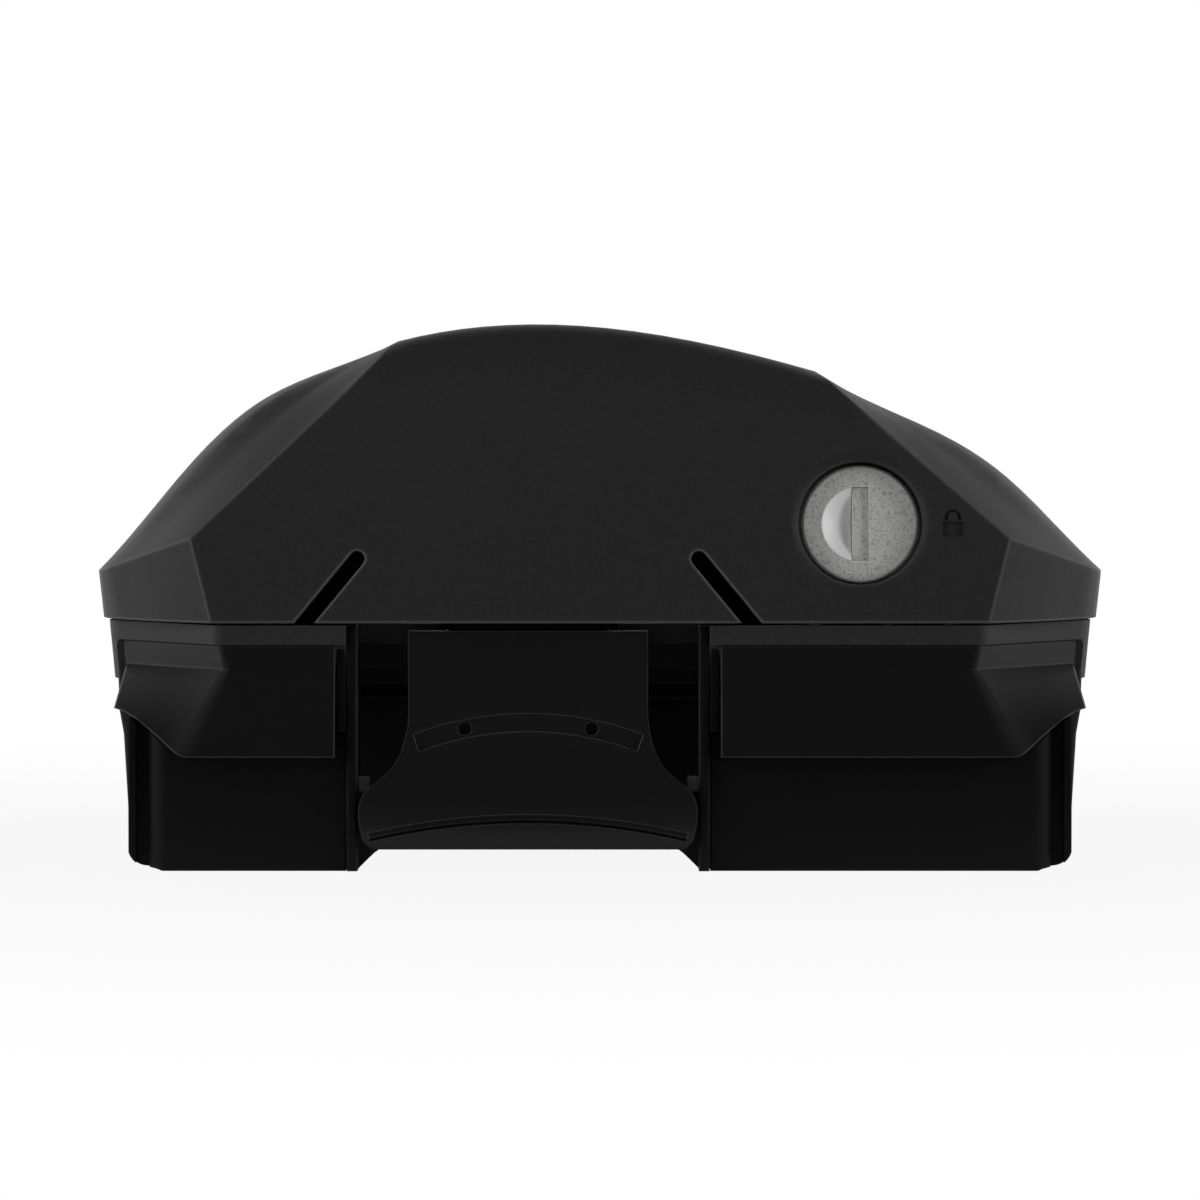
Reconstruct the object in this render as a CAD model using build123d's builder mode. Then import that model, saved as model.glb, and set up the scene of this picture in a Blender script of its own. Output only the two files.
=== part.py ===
"""Roof bar foot: a lockable cover, a housing that straddles a roof rail, and a screw-driven clamp jaw."""

import os
from math import atan2, cos, degrees, radians, sin

from build123d import *

os.makedirs("parts", exist_ok=True)

# Frame: X along the rail, Y from the outer face (negative) to the bar side, Z up, millimetres.
# The clamp, the bar tee and the crest of the cover share one plane, off the middle of the foot.
clamp_x = -12.3

# Cover
parting_z = 42.6
parting_gap = 0.4
cover_front_y = -47.6
cover_wide_y = -18.0
cover_rear_y = 41.0
cover_lean = 7.0
cover_wall = 2.6
front_bottom_half = 66.4
front_knee = (70.1, 57.1)
front_top = ((-33.6, 91.6), (clamp_x, 94.0), (13.0, 91.9), (36.0, 86.6))
wide_bottom_half = 86.8
wide_knee = (87.7, 50.8)
wide_left = ((-77.0, 63.1), (-66.0, 75.2), (-59.0, 80.6), (-50.0, 84.9))
wide_top = ((-36.0, 90.0), (clamp_x, 93.4), (13.0, 90.9), (38.0, 84.6))
wide_right = ((52.3, 78.0), (62.7, 73.0), (69.7, 68.3), (78.5, 60.0))
rear_bottom_half = 70.5
rear_knee = (71.5, 49.0)
rear_left = ((-62.5, 60.0), (-54.0, 70.2), (-49.0, 75.2), (-43.0, 79.6))
rear_top = ((-36.0, 83.4), (clamp_x, 87.0), (13.0, 84.8), (38.0, 79.0))
rear_right = ((45.0, 75.2), (51.0, 70.8), (57.0, 64.8), (64.0, 57.4))
top_roll_radius = 11.0
top_roll_angles = (0.0, 9.0, 18.0, 27.0, 36.0, 45.0, 54.0, 63.0, 72.0, 81.0, 90.0)
cover_stations = (-27.0, -22.5, -18.0, -12.0, -3.0, 9.0, 24.0)
plan_ease = 1.6
slit_width = 2.7
slit_low = (39.4, 41.2)
slit_high = (29.2, 53.6)
symbol_at = (60.26, 58.6)
symbol_body = (3.5, 2.5)
symbol_line = 0.45
symbol_shackle = 1.35
symbol_leg = 0.5
symbol_gap = 0.3
symbol_depth = 0.5

# Cover hinge over the bar
hinge_y = 44.7
hinge_z = 81.0
hinge_pin_radius = 1.75
hinge_running_gap = 0.05
knuckle_radius = 3.7
knuckle_span = (8.0, 17.0)
ear_span = (17.4, 22.0)
ear_mid_half = 7.6
strap_sink = (2.0, 5.0)

# Lock, along the normal of the front face
lock_at = (44.5, 59.8)
lock_hole_radius = 10.6
lock_rim_round = 1.7
lock_face_edge = 0.4
lock_boss_wall = 2.2
lock_boss_length = 19.0
lock_face_radius = 10.0
lock_face_depth = 3.0
lock_head_length = 3.0
lock_gap = 0.05
clip_radius = 12.2
clip_thickness = 1.0
barrel_clearance = 0.05
barrel_length = 14.4
plug_radius = 7.0
plug_running_gap = 0.03
plug_length = 17.5
key_slot = (2.9, 12.7)
key_slot_depth = 9.0
shutter_gap = 0.08
shutter_sink = 0.6
shutter_thickness = 1.4
scoop_radius = 6.1
scoop_width = 5.0
scoop_depth = 2.2
wafer_count = 3
wafer_size = (4.6, 10.4, 1.0)
wafer_pitch = 2.0
wafer_gap = 0.1
cam_thickness = 2.6
cam_width = 8.0
cam_reach = 14.6
cam_screw_radius = 2.0
cam_screw_head = (3.6, 2.2)

# Housing
rim_z = parting_z - parting_gap
rim_front = (65.6, -47.0)
rim_wide = (87.0, -18.0)
rim_rear = (68.8, 41.0)
base_front = (63.4, -44.4)
base_wide = (83.1, -17.0)
base_rear = (65.6, 38.0)
plan_corner_front = 2.5
plan_corner_wide = 10.0
deck_z = 36.0
rim_wall = 3.0
channel_front_y = -30.0
channel_rear_y = 18.0
channel_top_z = 32.0
channel_corner = 6.0
hook_reach = 5.0
hook_heights = (3.5, 9.0)
rear_skirt_wall = 8.0
rear_overhang = (22.0, 35.0)
window_half = 29.25
window_top_z = 38.9
window_corner = 3.0
leg_wall = 1.8
leg_wall_setback = 2.0
front_recess_y = -38.0
header_wall = 3.5
arm_slot_half = 15.5
arm_slot_rear_y = -21.8
toe_reach = 7.6
toe_y = (-36.5, -31.0)
toe_ramp = ((1.6, 1.6), (4.0, 3.5), (5.4, 4.0))
toe_heights = (4.4, 8.0, 12.5)
deck_lip_y = (-31.8, -27.0)
flap_recess = 1.2
flap_recess_z = 38.9
flap_recess_y = -20.6
flap_recess_corner = 1.5
shoe_back_y = -38.3
shoe_pocket_z = 24.0
rib_wall = 1.8
rib_top_z = 41.2
rib_places = (-74.0, -60.0, 38.0, 52.0, 77.0)

# Bar socket
bar_nose_x = -50.0
bar_tail_x = 40.0
bar_bottom_z = 46.0
bar_top_z = 71.0
bar_stop_y = 3.0
collar_y = (30.0, 40.6)
collar_clearance = 0.8
cradle_rib = 3.4
cradle_half = 32.0
stop_wall = 3.0
stop_reach = (22.0, 44.0)
stop_top_z = 58.0
ear_seat = 1.1
seal_depth = 3.2
seal_proud = 0.6
seal_grip = 0.4
seal_groove = 2.4

# Clamp
screw_z = 51.0
screw_radius = 4.0
screw_clearance = 0.3
screw_head_radius = 6.5
screw_head_length = 5.0
screw_head_gap = 0.6
screw_tip_y = -5.0
screw_hex = 6.0
screw_hex_depth = 3.0
washer_radius = 6.7
washer_thickness = 1.2
ring_radius = 6.2
ring_thickness = 1.0
bulkhead_y = (-20.5, -11.5)
bulkhead_half = 15.0
bulkhead_top_z = 62.0
nut_size = 13.0
nut_length = 6.5
nut_gap = 0.1
arm_half = 14.0
arm_y = (-36.5, -27.5)
arm_z = (30.5, 60.0)
spring_wire = 0.55
spring_radii = (10.2, 7.6)
spring_turns = 2

# Jaw
jaw_top_z = 41.2
jaw_bottom_z = 3.8
jaw_neck_half = 20.5
jaw_shell_back_y = -42.4
jaw_core_half = 19.0
jaw_core_back_y = -40.0
jaw_front = ((-45.4, 41.2), (-44.4, 31.0), (-45.2, 19.0), (-47.9, 8.6), (-47.3, 5.8), (-45.4, 3.8))
jaw_waist = ((20.9, 23.6), (21.8, 20.4), (23.2, 17.9), (25.0, 16.1), (26.8, 14.7))
jaw_lip = ((28.2, 13.2), (28.8, 11.6), (28.95, 9.8), (28.75, 7.9), (28.2, 5.4))
jaw_flare = ((jaw_neck_half, 27.5),) + jaw_waist + jaw_lip
jaw_corner = 1.4
hook_half = 20.5
hook_tip_y = -25.0
hook_shelf_z = 8.6
groove_width = 1.5
groove_depth = 0.7
groove_ends = (27.2, 6.0)
groove_root = 0.5
groove_root_depth = 2.2
groove_apex_z = 9.2
band_ends = (19.2, 22.0)
band_apex_z = 25.5
band_width = 3.1
band_floor_y = -44.1
jaw_hole_offset = 10.85
jaw_hole_z = 24.4
jaw_hole_radius = 1.15
jaw_hole_floor_y = -42.6
plate_thickness = 2.5
plate_half = 18.5
plate_top_z = 30.0
jaw_pad_thickness = 3.0
jaw_pad_half = 18.0
pad_rib = 1.2
plate_screw_radius = 1.5
plate_screw_head = (2.9, 1.6)
plate_screw_length = 4.4

# Load bracket
bracket_thickness = 2.6
bracket_half = 29.0
bracket_front_y = -29.5
bracket_rear_y = 28.0
bracket_arm_y = (-36.8, -32.2)
bracket_arm_bottom_z = 12.2
bracket_slot_gap = 0.2
bracket_tab_half = 27.4
bracket_tab_z = (13.3, 15.9)
bracket_screw_radius = 2.0
bracket_screw_head = (3.8, 2.4)
bracket_screw_length = 5.6
bracket_screw_at = ((-22.0, -4.0), (22.0, -4.0), (-22.0, 24.0), (22.0, 24.0))

# Bar tee
tee_y = (4.6, 22.6)
tee_stem_half = 3.6
tee_head_half = 9.0
tee_head_z = (49.6, 52.8)
tee_screw_y = 8.6
tee_screw_radius = 3.0
tee_screw_clearance = 0.3
tee_screw_head = (5.0, 5.0)
tee_washer = (5.8, 1.2)
tee_stem_bottom_z = 41.0
tee_access_radius = 6.2
tee_screw_hex = 5.0
tee_edge = 0.8

# Rail pads
pad_thickness = 3.0
pad_end = 76.0
pad_groove = 1.2
pad_groove_pitch = 8.0

# Shoes and flaps
shoe_front = (77.4, -43.5)
shoe_groove = (79.7, -38.9)
shoe_flange = (81.0, -40.6)
shoe_heel = ((70.0, -30.4), 65.0)
shoe_top_z = 23.6
shoe_round = 3.4
shoe_gap = 0.15
shoe_under_flap = 0.4
shoe_foot = ((75.1, 0.0), (77.1, 0.5), (79.2, 0.9), (80.5, 2.0), (81.1, 3.6))
flap_heights = (38.7, 34.7, 19.7)
flap_gap = 1.9
flap_top = ((64.9, -46.3), (83.0, -22.0))
flap_fold = ((64.0, -46.4), (82.6, -21.9))
flap_bottom = ((71.0, -48.4), (85.6, -43.0))
flap_back = (1.2, 1.6, 4.6)
flap_crease = (1.2, 2.2, 12.0)
flap_tip = ((69.6, 19.6), (72.2, 20.2), (74.0, 21.6), (78.0, 24.6), (82.0, 26.8), (86.6, 27.4))

# Keeper
keeper_x = 60.4
keeper_y = (-23.0, -18.0)
keeper_thickness = 2.5
keeper_lip_x = 53.0
keeper_lip_z = 62.0
keeper_foot = 9.0
keeper_screw_radius = 1.6
keeper_screw_head = (3.0, 1.8)
keeper_grip = 3.0
keeper_screw_at = (keeper_x + keeper_thickness + keeper_foot / 2, (keeper_y[0] + keeper_y[1]) / 2)

front_normal = (0, -cos(radians(cover_lean)), sin(radians(cover_lean)))
front_plane = Plane(origin=(0, cover_front_y, parting_z), x_dir=(1, 0, 0), z_dir=front_normal)


def keep(piece, name):
    """Names a finished piece and writes its file."""
    piece.part.label = name
    export_step(piece.part, "parts/" + name + ".step")


def plane_at(y):
    """Upright plane at one station along Y, with X and Z as its own axes."""
    return Plane.XZ.offset(-y)


def up_front(point, depth=0.0):
    """Local place on a plane a depth behind the leaning front face, from X and the height."""
    lean = radians(cover_lean)
    return (point[0], (point[1] - parting_z + depth * sin(lean)) / cos(lean))


def mix(start, end, share):
    """Point part of the way from one point to another."""
    return (start[0] + share * (end[0] - start[0]), start[1] + share * (end[1] - start[1]))


def cover_line(bottom_half, knee, left, top, right, inset, low):
    """Closed outline of the cover at one station, drawn inside a line block."""
    slope = 0.71 * inset
    low_left = (-bottom_half + inset, low)
    low_right = (bottom_half - inset, low)
    knee_left = (-knee[0] + inset, knee[1] - 0.3 * inset)
    knee_right = (knee[0] - inset, knee[1] - 0.3 * inset)
    top_left = (top[0][0] + slope, top[0][1] - slope)
    top_right = (top[-1][0] - slope, top[-1][1] - slope)
    Line(low_left, knee_left)
    Spline([knee_left] + [(x + slope, z - slope) for x, z in left] + [top_left])
    Spline([top_left] + [(x, z - inset) for x, z in top[1:-1]] + [top_right])
    Spline([top_right] + [(x - slope, z - slope) for x, z in right] + [knee_right])
    Line(knee_right, low_right)
    Line(low_right, low_left)


def mix_runs(start, end, share):
    """Row of points part of the way from one row to another."""
    return [mix(first, second, share) for first, second in zip(start, end)]


def straight_run(start, end, count):
    """Points evenly spaced between two ends, without the ends."""
    return [mix(start, end, (step + 1) / (count + 1)) for step in range(count)]


front_left = straight_run((-front_knee[0], front_knee[1]), front_top[0], len(wide_left))
front_right = straight_run(front_top[-1], front_knee, len(wide_right))


def cover_shape(y):
    """Half width, knee, left run, top run and right run of the cover at one place along Y."""
    if y < cover_wide_y:
        spread = 1 - (1 - (y - cover_front_y) / (cover_wide_y - cover_front_y)) ** plan_ease
        start = (front_bottom_half, front_knee, front_left, front_top, front_right)
        end = (wide_bottom_half, wide_knee, wide_left, wide_top, wide_right)
    else:
        spread = ((y - cover_wide_y) / (cover_rear_y - cover_wide_y)) ** plan_ease
        start = (wide_bottom_half, wide_knee, wide_left, wide_top, wide_right)
        end = (rear_bottom_half, rear_knee, rear_left, rear_top, rear_right)
    return (
        start[0] + spread * (end[0] - start[0]),
        mix(start[1], end[1], spread),
        mix_runs(start[2], end[2], spread),
        mix_runs(start[3], end[3], spread),
        mix_runs(start[4], end[4], spread),
    )


def roll_depth(angle):
    """Depth behind the front face at one angle of the roll that ends the face."""
    return top_roll_radius * (1 - cos(radians(angle)))


def cover_front_line(angle, inset, low):
    """Outline parallel to the leaning front face, at one angle of the roll that ends the face."""
    drop = top_roll_radius * (1 - sin(radians(angle)))
    depth = roll_depth(angle)
    bottom_half, knee, left, top, right = cover_shape(cover_front_y + depth)
    left_bend = (-knee[0], knee[1])
    left_share = 1 - drop / (top[0][1] - knee[1])
    right_share = 1 - drop / (top[-1][1] - knee[1])
    crown = [(x, z - drop) for x, z in top[1:-1]]
    rolled_top = [mix(left_bend, top[0], left_share)] + crown + [mix(knee, top[-1], right_share)]
    cover_line(
        bottom_half,
        up_front(knee, depth),
        [up_front(mix(left_bend, point, left_share), depth) for point in left],
        [up_front(point, depth) for point in rolled_top],
        [up_front(mix(knee, point, right_share), depth) for point in right],
        inset,
        up_front((0, low), depth)[1],
    )


lock_plane = Plane(front_plane.from_local_coords(up_front(lock_at)), x_dir=(1, 0, 0), z_dir=front_normal)

with BuildPart() as front_cover:
    for angle in top_roll_angles:
        with BuildSketch(front_plane.offset(-roll_depth(angle))):
            with BuildLine():
                cover_front_line(angle, 0, parting_z)
            make_face()
    for station in cover_stations + (cover_rear_y,):
        with BuildSketch(plane_at(station)):
            with BuildLine():
                cover_line(*cover_shape(station), 0, parting_z)
            make_face()
    loft(ruled=True)
    for angle in top_roll_angles:
        with BuildSketch(front_plane.offset(-roll_depth(angle) - cover_wall)):
            with BuildLine():
                cover_front_line(angle, cover_wall, parting_z - cover_wall)
            make_face()
    for station in cover_stations + (cover_rear_y + parting_gap,):
        with BuildSketch(plane_at(station)):
            with BuildLine():
                cover_line(*cover_shape(station), cover_wall, parting_z - cover_wall)
            make_face()
    loft(ruled=True, mode=Mode.SUBTRACT)
    # Lock boss behind the front face
    with BuildSketch(lock_plane.offset(-cover_wall / 2)):
        Circle(lock_hole_radius + lock_boss_wall)
    extrude(amount=cover_wall / 2 - lock_boss_length)
    with BuildSketch(lock_plane):
        Circle(lock_hole_radius)
    extrude(amount=2 * lock_boss_length, both=True, mode=Mode.SUBTRACT)
    # Rounded mouth of the lock hole
    mouth = Plane(lock_plane.origin, x_dir=lock_plane.x_dir, z_dir=-lock_plane.y_dir)
    mouth_radius = lock_hole_radius + lock_rim_round
    with BuildSketch(mouth):
        with BuildLine():
            RadiusArc((lock_hole_radius, -lock_rim_round), (mouth_radius, 0), lock_rim_round)
            Polyline(
                (mouth_radius, 0),
                (mouth_radius, lock_rim_round),
                (lock_hole_radius, lock_rim_round),
                (lock_hole_radius, -lock_rim_round),
            )
        make_face()
    revolve(axis=Axis(lock_plane.origin, front_normal), mode=Mode.SUBTRACT)
    # Two diagonal slits, mirrored about the clamp plane
    for side in (-1, 1):
        with BuildSketch(front_plane):
            with BuildLine():
                low = up_front((clamp_x + side * slit_low[0], slit_low[1]))
                high = up_front((clamp_x + side * slit_high[0], slit_high[1]))
                slit_line = Line(low, high)
            SlotCenterPoint(slit_line @ 0.5, high, slit_width)
        extrude(amount=3 * cover_wall, both=True, mode=Mode.SUBTRACT)
    # Open padlock symbol
    with BuildSketch(front_plane):
        body_x, body_y = up_front(symbol_at)
        shackle_y = body_y + symbol_body[1] / 2 + symbol_gap + symbol_leg
        with Locations((body_x, shackle_y)):
            Circle(symbol_shackle)
            Circle(symbol_shackle - symbol_line, mode=Mode.SUBTRACT)
        with Locations((body_x, shackle_y - symbol_shackle / 2)):
            Rectangle(2 * symbol_shackle, symbol_shackle, mode=Mode.SUBTRACT)
        for leg_x in (symbol_line / 2 - symbol_shackle, symbol_shackle - symbol_line / 2):
            with Locations((body_x + leg_x, shackle_y - symbol_leg / 2)):
                Rectangle(symbol_line, symbol_leg)
        with Locations((body_x, body_y)):
            Rectangle(symbol_body[0], symbol_body[1])
    extrude(amount=-symbol_depth, mode=Mode.SUBTRACT)
    # Hinge knuckles on the rear edge of the roof
    for side in (-1, 1):
        knuckle_mid = clamp_x + side * (knuckle_span[0] + knuckle_span[1]) / 2
        with BuildSketch(Plane.YZ.offset(knuckle_mid)):
            with Locations((hinge_y, hinge_z)):
                Circle(knuckle_radius)
            with BuildLine():
                Polyline(
                    (hinge_y, hinge_z + knuckle_radius),
                    (cover_rear_y - cover_wall, rear_top[1][1] - strap_sink[0]),
                    (cover_rear_y - cover_wall, rear_top[1][1] - strap_sink[1]),
                    (hinge_y, hinge_z),
                    close=True,
                )
            make_face()
            with Locations((hinge_y, hinge_z)):
                Circle(hinge_pin_radius + hinge_running_gap, mode=Mode.SUBTRACT)
        extrude(amount=(knuckle_span[1] - knuckle_span[0]) / 2, both=True)


def block(x, y, z, mode=Mode.ADD):
    """Box between two limits on each axis."""
    with Locations(((x[0] + x[1]) / 2, (y[0] + y[1]) / 2, (z[0] + z[1]) / 2)):
        Box(abs(x[1] - x[0]), abs(y[1] - y[0]), abs(z[1] - z[0]), mode=mode)


def beside(side, near, far):
    """X limits between two distances from the clamp plane, on one side of it."""
    return (clamp_x + side * near, clamp_x + side * far)


def rod(plane, place, radius, start, length, mode=Mode.ADD):
    """Round rod along a plane's normal, from a start height over a length."""
    base = Plane(plane.from_local_coords((place[0], place[1], start)), x_dir=plane.x_dir, z_dir=plane.z_dir)
    with Locations(base):
        Cylinder(radius, length, align=(Align.CENTER, Align.CENTER, Align.MIN), mode=mode)


def plan_line(front, wide, rear):
    """Closed six-cornered plan of the housing, drawn inside a line block."""
    Polyline(
        (-front[0], front[1]),
        (-wide[0], wide[1]),
        (-rear[0], rear[1]),
        (rear[0], rear[1]),
        (wide[0], wide[1]),
        (front[0], front[1]),
        close=True,
    )


def round_plan(sketch):
    """Rounds the front corners and the wide corners of a plan."""
    by_y = sketch.vertices().sort_by(Axis.Y)
    fillet(by_y[2:4], plan_corner_wide)
    fillet(sketch.vertices().sort_by(Axis.Y)[0:2], plan_corner_front)


def bar_line(grow=0.0):
    """Closed section of the bar socket, larger or smaller by one margin, drawn inside a line block."""
    nose = bar_nose_x - grow
    tail = bar_tail_x + grow
    low = bar_bottom_z - grow
    height = bar_top_z - bar_bottom_z + 2 * grow
    low_nose = (nose + 12.0, low)
    low_tail = (tail - 14.0, low)
    front_nose = (nose, low + 0.36 * height)
    crest = (clamp_x, low + height)
    high_tail = (tail - 2.0, low + 0.3 * height)
    Bezier(low_nose, (nose + 3.0, low), (nose, low + 0.14 * height), front_nose)
    Bezier(front_nose, (nose, low + 0.72 * height), (clamp_x - 19.0, low + height), crest)
    Bezier(crest, (clamp_x + 20.0, low + height), (tail - 17.0, low + 0.76 * height), high_tail)
    Bezier(high_tail, (tail + 2.4, low + 0.14 * height), (tail - 4.0, low), low_tail)
    Line(low_tail, low_nose)


leg_half = window_half + leg_wall
beyond = 2 * rim_z

with BuildPart() as recess_form:
    recess_half = rim_wide[0] + rim_wall
    block((-recess_half, recess_half), (-beyond, flap_recess_y), (-rim_wall, flap_recess_z))
    recess_top = recess_form.edges().filter_by(Axis.X).group_by(Axis.Z)[-1]
    fillet(recess_top.sort_by(Axis.Y)[-1], flap_recess_corner)
    with BuildSketch(Plane.XY.offset(rim_z)) as inset_rim:
        with BuildLine():
            plan_line(rim_front, rim_wide, rim_rear)
        make_face()
        offset(amount=-flap_recess, kind=Kind.INTERSECTION, mode=Mode.REPLACE)
    with BuildSketch(Plane.XY) as inset_base:
        with BuildLine():
            plan_line(base_front, base_wide, base_rear)
        make_face()
        offset(amount=-flap_recess, kind=Kind.INTERSECTION, mode=Mode.REPLACE)
    loft(ruled=True, mode=Mode.SUBTRACT)
    block(beside(1, -leg_half, leg_half), (-beyond, 0), (-rim_wall, rim_z), Mode.SUBTRACT)

with BuildPart() as collar_form:
    with BuildSketch(plane_at(collar_y[0])):
        with BuildLine():
            cover_line(*cover_shape(cover_rear_y), cover_wall + collar_clearance, deck_z)
        make_face()
    extrude(amount=collar_y[0] - 2 * rim_rear[1])

with BuildPart() as housing:
    with BuildSketch(Plane.XY.offset(rim_z)) as rim_plan:
        with BuildLine():
            plan_line(rim_front, rim_wide, rim_rear)
        make_face()
        round_plan(rim_plan)
    with BuildSketch(Plane.XY) as base_plan:
        with BuildLine():
            plan_line(base_front, base_wide, base_rear)
        make_face()
        round_plan(base_plan)
    loft(ruled=True)
    # Rail channel with a hook at the foot of the rear skirt
    with BuildSketch(Plane.YZ) as channel:
        with BuildLine():
            Polyline(
                (channel_front_y, -rim_wall),
                (channel_front_y, channel_top_z),
                (channel_rear_y, channel_top_z),
                (channel_rear_y, hook_heights[1]),
                (channel_rear_y - hook_reach, hook_heights[0]),
                (channel_rear_y - hook_reach, -rim_wall),
                close=True,
            )
        make_face()
        fillet(channel.vertices().sort_by(Axis.Y)[-2:], channel_corner)
    extrude(amount=2 * rim_wide[0], both=True, mode=Mode.SUBTRACT)
    with BuildSketch(Plane.YZ):
        with BuildLine():
            Polyline(
                (channel_rear_y + rear_skirt_wall, -rim_wall),
                (channel_rear_y + rear_skirt_wall, rear_overhang[0]),
                (rim_rear[1], rear_overhang[1]),
                (2 * rim_rear[1], rear_overhang[1]),
                (2 * rim_rear[1], -rim_wall),
                close=True,
            )
        make_face()
    extrude(amount=2 * rim_wide[0], both=True, mode=Mode.SUBTRACT)
    # Open tray above the deck
    with BuildSketch(Plane.XY.offset(deck_z)):
        with BuildLine():
            plan_line(rim_front, rim_wide, rim_rear)
        make_face()
        offset(amount=-rim_wall, kind=Kind.INTERSECTION, mode=Mode.REPLACE)
    extrude(amount=2 * (rim_z - deck_z), mode=Mode.SUBTRACT)
    for place in rib_places:
        block(
            (place - rib_wall / 2, place + rib_wall / 2),
            (channel_front_y, collar_y[0]),
            (deck_z - rib_wall, rib_top_z),
        )
    # Window between the legs
    window_x = beside(1, -window_half, window_half)
    block(window_x, (-beyond, front_recess_y), (-rim_wall, beyond), Mode.SUBTRACT)
    with BuildSketch(plane_at(front_recess_y)) as window:
        with Locations((clamp_x, (window_top_z - rim_wall) / 2)):
            Rectangle(2 * window_half, window_top_z + rim_wall)
        fillet(window.vertices().sort_by(Axis.Y)[-2:], window_corner)
    extrude(amount=front_recess_y - channel_front_y - rim_wall, mode=Mode.SUBTRACT)
    block(
        beside(1, -leg_half, leg_half),
        (front_recess_y, front_recess_y + header_wall),
        (window_top_z, rim_z),
    )
    for side in (-1, 1):
        leg_edge_y = rim_front[1] + leg_wall_setback
        block(
            beside(side, window_half, leg_half),
            (leg_edge_y, channel_front_y),
            (deck_z - rib_wall, rim_z),
        )
        block(
            beside(side, window_half - leg_wall, leg_half),
            (-beyond, leg_edge_y),
            (-rim_wall, beyond),
            Mode.SUBTRACT,
        )
    add(recess_form.part, mode=Mode.SUBTRACT)
    for side in (-1, 1):
        block(
            (clamp_x + side * leg_half, side * 2 * rim_wide[0]),
            (-beyond, shoe_back_y),
            (-rim_wall, shoe_pocket_z),
            Mode.SUBTRACT,
        )
        # Lip of the deck in front of the bracket's plate
        lip_x = beside(side, arm_slot_half, window_half)
        block(lip_x, deck_lip_y, (deck_z - rib_wall, deck_z))
        block(lip_x, (deck_lip_y[0], channel_front_y), (deck_z - rib_wall, window_top_z))
        # Slots for the arms and tabs of the load bracket
        slot_y = (bracket_arm_y[0] - bracket_slot_gap, bracket_arm_y[1] + bracket_slot_gap)
        arm_far = leg_half + bracket_thickness + 2 * bracket_slot_gap
        arm_slot_z = (bracket_arm_bottom_z - bracket_slot_gap, rim_z)
        block(beside(side, leg_half, arm_far), slot_y, arm_slot_z, Mode.SUBTRACT)
        tab_slot_z = (bracket_tab_z[0] - bracket_slot_gap, bracket_tab_z[1] + bracket_slot_gap)
        block(beside(side, window_half - leg_wall, arm_far), slot_y, tab_slot_z, Mode.SUBTRACT)
        # Toes at the foot of the window
        with BuildSketch(plane_at(toe_y[0])):
            with BuildLine():
                toe_tip_x = clamp_x + side * (window_half - toe_reach)
                toe_root_x = clamp_x + side * window_half
                ramp = [(toe_root_x - side * x, z) for x, z in toe_ramp]
                Spline([(toe_root_x, 0)] + ramp + [(toe_tip_x, toe_heights[0])])
                Polyline(
                    (toe_tip_x, toe_heights[0]),
                    (toe_tip_x, toe_heights[1]),
                    (toe_root_x, toe_heights[2]),
                    (toe_root_x, 0),
                )
            make_face()
        extrude(amount=toe_y[0] - toe_y[1])
    arm_slot_x = beside(1, -arm_slot_half, arm_slot_half)
    block(arm_slot_x, (-beyond, arm_slot_rear_y), (arm_z[0] - rib_wall, beyond), Mode.SUBTRACT)
    # Bulkhead that holds the clamp nut
    block(beside(1, -bulkhead_half, bulkhead_half), bulkhead_y, (deck_z - rib_wall, bulkhead_top_z))
    for side in (-1, 1):
        block(
            beside(side, bulkhead_half - rib_wall, bulkhead_half),
            (bulkhead_y[1], bar_stop_y),
            (deck_z - rib_wall, bar_bottom_z),
        )
    nut_half = nut_size / 2 + nut_gap
    block(
        beside(1, -nut_half, nut_half),
        (bulkhead_y[1] - nut_length, bulkhead_y[1] + rib_wall),
        (screw_z - nut_half, screw_z + nut_half),
        Mode.SUBTRACT,
    )
    with BuildSketch(plane_at(bulkhead_y[0])):
        with Locations((clamp_x, screw_z)):
            Circle(screw_radius + screw_clearance)
    extrude(amount=bulkhead_y[0] - bulkhead_y[1], mode=Mode.SUBTRACT)
    # Cradle and stops for the bar, in front of the collar's seat
    for side in (-1, 1):
        block(
            beside(side, cradle_half, cradle_half + cradle_rib),
            (0, collar_y[0] + rib_wall),
            (deck_z - rib_wall, bar_bottom_z),
        )
        block(
            beside(side, stop_reach[0], stop_reach[1]),
            (bar_stop_y - stop_wall, bar_stop_y),
            (deck_z - rib_wall, stop_top_z),
        )
    add(collar_form.part, mode=Mode.SUBTRACT)
    for x, y in bracket_screw_at:
        screw_bottom = deck_z + bracket_thickness - bracket_screw_length
        rod(
            Plane.XY,
            (clamp_x + x, y),
            bracket_screw_radius,
            screw_bottom,
            deck_z - screw_bottom,
            Mode.SUBTRACT,
        )
    rod(Plane.XY, keeper_screw_at, keeper_screw_radius, deck_z - keeper_grip, keeper_grip, Mode.SUBTRACT)
    # Access to the screw of the bar tee, from the channel
    with BuildSketch(Plane.XY.offset(deck_z)):
        with Locations((clamp_x, tee_screw_y)):
            Circle(tee_access_radius)
    extrude(amount=channel_top_z - channel_corner - deck_z, mode=Mode.SUBTRACT)

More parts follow.
